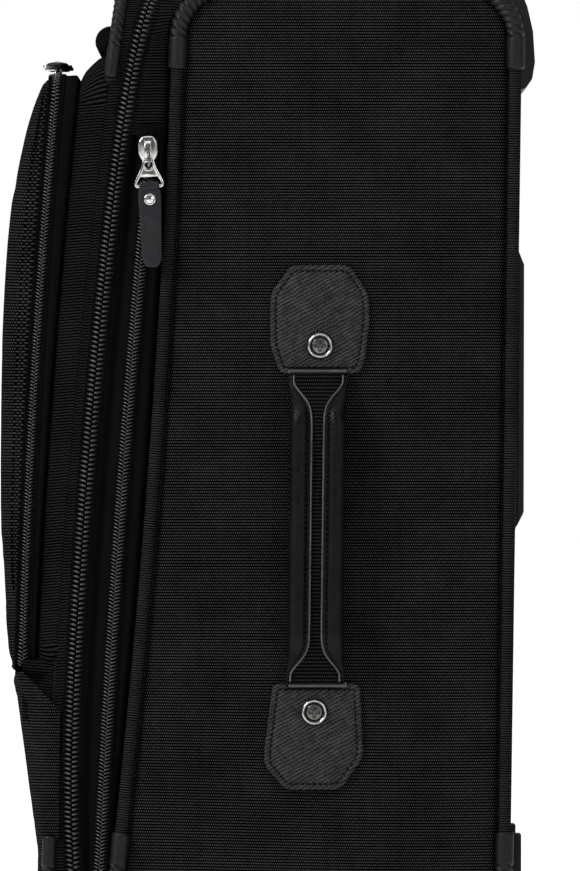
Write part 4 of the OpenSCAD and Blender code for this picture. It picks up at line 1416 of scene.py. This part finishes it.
# ---- zip sliders and pulls ----

def turned(axis, degrees):
    return np.array(Matrix.Rotation(math.radians(degrees), 3, axis))


def placed(parts, turn, shift):
    points, faces, uv = parts
    return np.asarray(points, float) @ turn.T + np.array(shift), faces, uv


def lying(a, b, h):
    """A drawing that lies flat: a along x, b along y, h up."""
    return np.stack([a, b, h], axis=-1)


def slider_parts():
    """A slider lying flat, its length along x and its foot on z = 0."""
    body = smooth_outline([(-6.5, -2.6), (-4.0, -4.7), (2.5, -4.7), (6.5, -2.2), (6.5, 2.2), (2.5, 4.7),
                           (-4.0, 4.7), (-6.5, 2.6)], 2.4, 0.5)
    plate = plate_parts(body, [(0.3, -0.4), (0, 0.1), (0, 1.5), (0.35, 2.1), (1.1, 2.4)], lying)
    angle = np.linspace(math.radians(200), -math.radians(20), 30)
    path = np.stack([4.8 * np.cos(angle) + 0.8, 0 * angle, 2.6 + 2.4 * np.sin(angle)], axis=1)
    normals = np.stack([np.cos(angle), 0 * angle, np.sin(angle)], axis=1)
    bar = smooth_outline([(-0.6, -1.7), (0.6, -1.7), (0.6, 1.7), (-0.6, 1.7)], 0.5, 0.3)
    return [plate, sweep(path, normals, bar)]


def ring_parts():
    """The oval ring that hangs the pull on the slider's bridge."""
    angle = round_angles(48)
    path = lying(3.6 * np.cos(angle) - 1.2, 0.45 * np.sin(angle), 1.9 * np.sin(angle) + 1.2)
    normals = np.stack([np.cos(angle), 0 * angle, np.sin(angle)], axis=1)
    return sweep(path, normals, circle(0.85, 12), True)


def flat_loop(outline, inset, low=0.1, high=1.9):
    """A flat closed bar that follows an outline, inset wide, with eased edges."""
    out = outline_normals(outline)
    loops = [(0, low + 0.35), (0.3, low), (inset, low), (inset, high), (0.35, high), (0, high - 0.35)]
    grid = np.stack([raised(outline - out * i, lying, h) for i, h in loops], axis=1)
    return grid_parts(grid, lengths(outline, True), np.arange(7), True, True)


def link_parts():
    """A flat stirrup: an eye at the slider's ring, a solid neck and a slot as wide as the tab."""
    outline = smooth_outline([(-1.4, -3.0), (2.5, -3.8), (10.6, -7.9), (13.6, -7.2), (13.6, 7.2), (10.6, 7.9),
                              (2.5, 3.8), (-1.4, 3.0)], 2.6, 0.5)
    angle = round_angles(40)
    eye = np.stack([1.9 + 3.3 * np.cos(angle), 3.3 * np.sin(angle)], axis=1)
    neck = smooth_outline([(4.4, -4.2), (8.0, -6.2), (8.0, 6.2), (4.4, 4.2)], 1.0, 0.5)
    return [flat_loop(outline, 1.7), flat_loop(eye, 1.6, 0.15, 1.85),
            plate_parts(neck, [(0.3, 0.2), (0, 0.4), (0, 1.5), (0.4, 1.8)], lying)]


def tab_parts():
    """A leather tab with a sunk blank panel, folded over the link at its head."""
    outline = smooth_outline([(11.5, -4.9), (16.5, -6.1), (51, -5.1), (55, -3.0), (55, 3.0), (51, 5.1),
                              (16.5, 6.1), (11.5, 4.9)], 3.0, 0.7)
    levels = [(0.3, 0.15), (0, 0.4), (0, 1.7), (0.3, 2.15), (0.9, 2.4), (1.7, 2.45)]
    tab = plate_parts(outline, levels, lying)
    sunk = smooth_outline([(29, -3.4), (49, -3.2), (49, 3.2), (29, 3.4)], 3.0, 0.6)
    rim = outline_normals(sunk)
    loops = [(0.5, 2.40), (0.1, 2.62), (-0.4, 2.60), (-0.9, 2.47)]
    grid = np.stack([raised(sunk + rim * beyond, lying, h) for beyond, h in loops], axis=1)
    panel = grid_parts(grid, lengths(sunk, True), np.arange(4), True, False)
    fold = smooth_outline([(10.2, -5.0), (14.6, -5.4), (14.6, 5.4), (10.2, 5.0)], 1.4, 0.5)
    loop = plate_parts(fold, [(0.8, -0.5), (0, 0.2), (0, 2.3), (0.5, 2.9), (1.3, 3.05)], lying)
    return [tab, panel, loop]


def tab_panel_parts():
    """The blank panel pressed into the tab, a shade darker than the rest."""
    sunk = smooth_outline([(29.8, -2.8), (48.2, -2.6), (48.2, 2.6), (29.8, 2.8)], 2.4, 0.6)
    return plate_parts(sunk, [(0, 2.3), (0, 2.50), (0.3, 2.53)], lying)


def rivet_parts():
    """The dished rivet near the head of the tab."""
    def here(a, b, h):
        return lying(a + 19.5, b, h + 2.3)

    profile = [(3.1, 0.0), (3.1, 0.45), (2.9, 0.8), (2.4, 1.0), (2.2, 0.85), (1.9, 0.95), (1.0, 1.35),
               (0.02, 1.45)]
    return [lathe_parts(profile, here, 40)]


def zip_pull(slider_body, pull_body, slider_at, pull_at, slider_turn, pull_turn):
    """A slider and the pull that hangs on it; pieces are named after their bodies."""
    def pull(parts):
        return join_parts([placed(part, pull_turn, pull_at) for part in parts])

    slider = join_parts([placed(part, slider_turn, slider_at) for part in slider_parts()])
    add(slider_body + "_body", slider, CHROME, slider_body, "metal", [slider_body])
    add(pull_body + "_link", pull(link_parts() + rivet_parts()), CHROME, pull_body, "metal", [pull_body])
    add(pull_body + "_ring", pull([ring_parts()]), GUNMETAL, pull_body, "metal")
    add(pull_body + "_tab", pull(tab_parts()), SMOOTH_LEATHER, pull_body, "leather")
    add(pull_body + "_panel", pull([tab_panel_parts()]), RUBBER, pull_body, "leather")


def sliders():
    main_y, main_z = main_line(LID_TOP), LID_TOP + 3.2
    pocket_y = pocket_line(POCKET_HIGH) - 1
    forwards = turned("Z", -90)
    for sign, side in ((1, "right"), (-1, "left")):
        mirror = np.diag([sign, 1.0, 1.0])
        zip_pull("main_slider_" + side, "main_pull_" + side, (16 * sign, main_y, main_z),
                 (16 * sign, main_y - 3, main_z + 5.0), mirror, forwards)
        outwards = turned("Z", 0 if sign > 0 else 180)
        zip_pull("pocket_slider_" + side, "pocket_pull_" + side, (22 * sign, pocket_y, POCKET_HIGH + 2.4),
                 (29 * sign, pocket_y, POCKET_HIGH + 7.2), mirror, outwards)
    lean = turned("X", 2.2) @ turned("Y", 90)
    y = expansion_line(EXPANSION_SLIDER_Z) - 1.5
    zip_pull("expansion_slider", "expansion_pull", (TAPE_X + 0.3, y, EXPANSION_SLIDER_Z),
             np.array([TAPE_X + 4.8, y, EXPANSION_SLIDER_Z]) + lean @ np.array([6.5, 0, 0]), lean * 1.1, lean)
    patch = plate_parts(smooth_outline([(0, -7), (7, -7), (7, 7), (0, 7)], 1.2, 0.5),
                        [(0, -1.6), (0, 0.5), (0.4, 0.9), (1.2, 1.0)], lying)
    stop = placed(patch, turned("Y", -90),
                  (TAPE_X - 1.2, expansion_line(EXPANSION_TOP) - 1, EXPANSION_TOP - 1))
    add("expansion_zip_stops", join_parts([stop, mirrored(stop)]), TAPE, "case", "tape_fabric")


# ---- parts that keep the CAD's shape ----

def refined(node, material, slot, body, width):
    """A copy of a CAD node with its sharp edges rounded."""
    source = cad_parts[node]
    mesh = source.data.copy()
    mesh.materials.clear()
    mesh.materials.append(material)
    work = bmesh.new()
    work.from_mesh(mesh)
    bmesh.ops.remove_doubles(work, verts=work.verts, dist=1e-6)
    bmesh.ops.dissolve_limit(work, angle_limit=math.radians(1), verts=work.verts, edges=work.edges)
    work.to_mesh(mesh)
    work.free()
    mesh.polygons.foreach_set("use_smooth", [True] * len(mesh.polygons))
    piece = bpy.data.objects.new(node + "_fine", mesh)
    bpy.context.scene.collection.objects.link(piece)
    bevel = piece.modifiers.new("edges", "BEVEL")
    bevel.width = width * MM
    bevel.segments = 3
    bevel.limit_method = "ANGLE"
    bevel.angle_limit = math.radians(25)
    bevel.harden_normals = True
    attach(piece, body)
    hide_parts(node)


SIDES = ("right", "left")


def hard_parts():
    for node, material, slot, body, width in (
            ("trolley_bezel", TRIM, "moulded_trim", "case", 1.2),
            ("trolley_grip", RUBBER, "moulded_trim", "trolley_inner", 1.2),
            ("trolley_button", BUTTON, "button_plastic", "trolley_button", 0.8),
            ("trolley_outer_tubes", ALLOY, "tube_aluminium", "case", 0.2),
            ("trolley_middle_tubes", ALLOY, "tube_aluminium", "trolley_middle", 0.2),
            ("trolley_inner_tubes", ALLOY, "tube_aluminium", "trolley_inner", 0.2),
            ("skid_rails", RUBBER, "moulded_trim", "case", 0.9),
            ("wheel_housings", TRIM, "moulded_trim", "case", 0.9),
            ("kick_plate", TRIM, "moulded_trim", "case", 0.8),
            ("wheel_axles", GUNMETAL, "steel", "case", 0.4),
            ("front_feet", RUBBER, "feet_rubber", "case", 2.0),
            ("side_feet", RUBBER, "feet_rubber", "case", 1.5),
            ("strap_buckles", TRIM, "moulded_trim", "case", 1.0),
            ("front_plate", RUBBER, "moulded_trim", "pocket", 0.7),
            *(("wheel_hub_" + side, HUB, "hub_plastic", "wheel_" + side, 0.6) for side in SIDES),
            *(("wheel_tyre_" + side, TYRE, "tyre_rubber", "wheel_" + side, 1.0) for side in SIDES)):
        refined(node, material, slot, body, width)


# ---- inside ----

def tub_wall(sign, off):
    """The lining on one side wall of the tub."""
    rows, columns = eased(60), eased(24)
    z = CASE_BOTTOM + off + (CASE_TOP - CASE_BOTTOM - 2 * off) * rows
    front, rear = side_limits(z, off - 0.2)
    front = front - off + 1
    y = front[:, None] + (rear - front)[:, None] * columns[None]
    z = np.repeat(z[:, None], len(columns), axis=1)
    x = 170.4 - 0.8 * np.sin(z / 45) * np.sin(y / 38) - 0.6
    return facing(cloth_grid(x, y, z, y, z), sign)


def tub_wrap(off):
    """The lining over the top, back and floor of the tub, cut out round the wheel wells, and its length."""
    high, low = BEND_HIGH, BEND_LOW
    quarter = np.linspace(0, math.pi / 2, 8)
    back_high, back_low = back_edge(high) - UPPER_R, back_edge(low) - LOWER_R
    line = [(y, CASE_TOP - off) for y in np.linspace(-55, back_edge(CASE_TOP - off) - UPPER_R, 30)]
    line += [(back_high + (UPPER_R - off) * math.sin(a), high + (UPPER_R - off) * math.cos(a))
             for a in quarter[1:]]
    line += [(back_edge(z) - off, z) for z in np.linspace(high - 6, low + 7, 50)]
    line += [(back_low + (LOWER_R - off) * math.cos(a), low - (LOWER_R - off) * math.sin(a)) for a in quarter]
    line += [(y, CASE_BOTTOM + off) for y in np.linspace(back_low - 4, -88, 34)]
    line = np.array(line)
    x = np.linspace(-169.5, 169.5, 60)
    grid = np.zeros((len(line), len(x), 3))
    grid[..., 0] = x
    grid[..., 1:] = line[:, None]
    s = lengths(np.column_stack([line, line[:, 0] * 0]))
    parts = grid_parts(grid, np.repeat(x[None], len(line), axis=0), np.repeat(s[:, None], len(x), axis=1))
    points = parts[0]
    wells = (points[:, 1] > 55) & (points[:, 2] < 92) & (np.abs(points[:, 0]) > 124)
    return without(parts, wells), float(s[-1]) * MM


def linings():
    """Lining cloth of the tub, the cover over the trolley's tubes and the lid's lining."""
    off = 9.4
    wrap, around = tub_wrap(off)
    for name, parts, flat, stands_for in (("lining_wrap_cloth", wrap, (0.339, around), ["lining"]),
                                          ("lining_right_cloth", tub_wall(1, off), (0.175, 0.481), []),
                                          ("lining_left_cloth", tub_wall(-1, off), (0.175, 0.481), [])):
        piece = add(name, parts, LINING, "case", "lining_fabric", stands_for)
    x = np.linspace(-169, 169, 90)
    zz, xx = np.meshgrid(np.linspace(52, CASE_TOP - off - 1, 80), x, indexing="ij")
    bulge = 1.6 * np.exp(-((np.abs(xx) - 60) / 16) ** 2)
    y = 90.0 - bulge - 0.6 * np.sin(xx / 31) * np.sin(zz / 47)
    over_wells = np.where(np.abs(xx) > 126, np.maximum(zz, 92), zz)
    piece = add("tube_cover_cloth", cloth_grid(xx, y, over_wells, xx, zz), LINING, "case", "lining_fabric",
                ["tube_cover"])
    zz, xx = np.meshgrid(np.linspace(54, 543, 80), x, indexing="ij")
    y = lid_edge(zz) + 1.0 + 0.5 * np.sin(xx / 28) * np.sin(zz / 40)
    lift = np.clip((zz - 516) / 30, 0, 1) + np.clip((82 - zz) / 30, 0, 1)
    xx = xx * (1 - 0.16 * lift ** 2)
    piece = add("lid_lining_cloth", cloth_grid(xx * 1.015, y, zz, xx, zz), LINING, "lid", "lining_fabric",
                ["lid_lining"])


def tie_straps():
    """Two webbing straps across the tub, each of two ends that meet in a buckle."""
    inner, outer, half_width = 14, 168, 12.5
    strip = [(-0.6, -half_width), (0.4, -half_width), (0.7, -11.8), (0.7, 11.8), (0.4, half_width),
             (-0.6, half_width)]
    straps = []
    for z in (210, 380):
        x = np.linspace(inner, outer, 60)
        sag = 0.5 * np.sin((x - inner) / (outer - inner) * math.pi * 3)
        path = np.column_stack([x, 88.6 - np.abs(sag) * 1.4, np.full(len(x), z)])
        one = capped(sweep(path, np.tile([0.0, -1.0, 0.0], (len(x), 1)), strip), len(strip))
        straps += [one, mirrored(one)]
    add("tie_strap_webbing", join_parts(straps), STRAP_CLOTH, "case", "webbing", ["tie_straps"])


def fabric_hinge():
    """Cloth that joins the lid's foot to the front frame, hidden inside the fold while it is shut."""
    middle = main_line(LID_FOOT)
    xx, tt = np.meshgrid(np.linspace(-150, 150, 60), np.linspace(0, 1, 13), indexing="ij")
    y = middle + 6 - 12 * tt
    z = 44.9 - 0.5 * np.sin(tt * math.pi)
    piece = add("fabric_hinge", cloth_grid(xx, y, z, xx, y), TWILL, None, "tape_fabric")
    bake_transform(piece)


# ---- the setting ----

def studio_world():
    """White behind the object; round it, light from above and little from the front."""
    world = bpy.data.worlds.new("studio")
    world.use_nodes = True
    tree = world.node_tree
    make = Maker(tree)
    split = make.node("ShaderNodeSeparateXYZ")
    make.link(make.node("ShaderNodeTexCoord").outputs["Generated"], split.inputs[0])
    level, rise, from_the_right = 0.22, 0.22, -0.06
    above = make.plus(make.times(split.outputs[2], rise), level)
    away = make.times(split.outputs[0], from_the_right)
    glow = make.node("ShaderNodeMixRGB")
    make.link(make.node("ShaderNodeLightPath").outputs["Is Camera Ray"], glow.inputs["Fac"])
    make.link(make.plus(above, away), glow.inputs["Color1"])
    glow.inputs["Color2"].default_value = (1, 1, 1, 1)
    make.link(glow.outputs[0], tree.nodes["Background"].inputs["Color"])
    bpy.context.scene.world = world


def area(name, place, target, size, power):
    """A rectangular lamp at place that looks at target."""
    light = bpy.data.lights.new(name, "AREA")
    light.shape = "RECTANGLE"
    light.size, light.size_y = size
    light.energy = power
    lamp = bpy.data.objects.new(name, light)
    lamp.location = place
    lamp.rotation_euler = (Vector(target) - Vector(place)).to_track_quat("-Z", "Y").to_euler()
    bpy.context.scene.collection.objects.link(lamp)


def photo_camera():
    """A far camera with a long lens, since the photograph is nearly a parallel view of the side."""
    scene = bpy.context.scene
    camera = bpy.data.cameras.new("photo_camera")
    camera.sensor_fit = "VERTICAL"
    camera.sensor_height = 36
    camera.lens = 954
    camera.clip_end = 60
    seat = bpy.data.objects.new("photo_camera", camera)
    seat.location = (12.18, 0.00468, 0.3143)
    seat.rotation_euler = (math.radians(90), 0, math.radians(90))
    scene.collection.objects.link(seat)
    scene.camera = seat


def setting():
    """A white floor and world, three lamps and the camera."""
    scene = bpy.context.scene
    white, _, shader = new_material("studio_white", grey(0.9), 0.8, specular=0.1)
    shader.inputs["Emission Color"].default_value = (1, 1, 1, 1)
    shader.inputs["Emission Strength"].default_value = 0.75
    floor_mesh = bpy.data.meshes.new("floor")
    far = 60
    corners = [(-far, -far, 0), (far, -far, 0), (far, far, 0), (-far, far, 0)]
    floor_mesh.from_pydata(corners, [], [(0, 1, 2, 3)])
    floor_mesh.materials.append(white)
    floor = bpy.data.objects.new("floor", floor_mesh)
    scene.collection.objects.link(floor)
    studio_world()

    area("key", (1.7, -2.0, 2.1), (0, 0, 0.38), (0.8, 1.3), 125)
    area("fill", (2.4, 1.6, 1.4), (0, 0, 0.36), (1.0, 1.6), 24)
    area("over", (0.2, 0.2, 2.6), (0, 0, 0.3), (2.6, 2.6), 42)
    scene.view_settings.view_transform = "Standard"
    photo_camera()


# ---- the whole ----

for side in (1, -1):
    side_panel(side)
top_wrap()
for side in (1, -1):
    side_piping(side)
front_band()
frame_band()
upper_band()
lid_side()
expansion_zip()
main_zip()
bellows()
lid_front()
lid_piping()
front_welt()
pocket_sides()
side_skirt()
pocket_zip()
pocket_panel()
lower_panel()
pocket_back()
handles()
sliders()
hard_parts()
linings()
tie_straps()
fabric_hinge()
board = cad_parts["shell_board"].data.materials
board.clear()
board.append(BOARD)
setting()
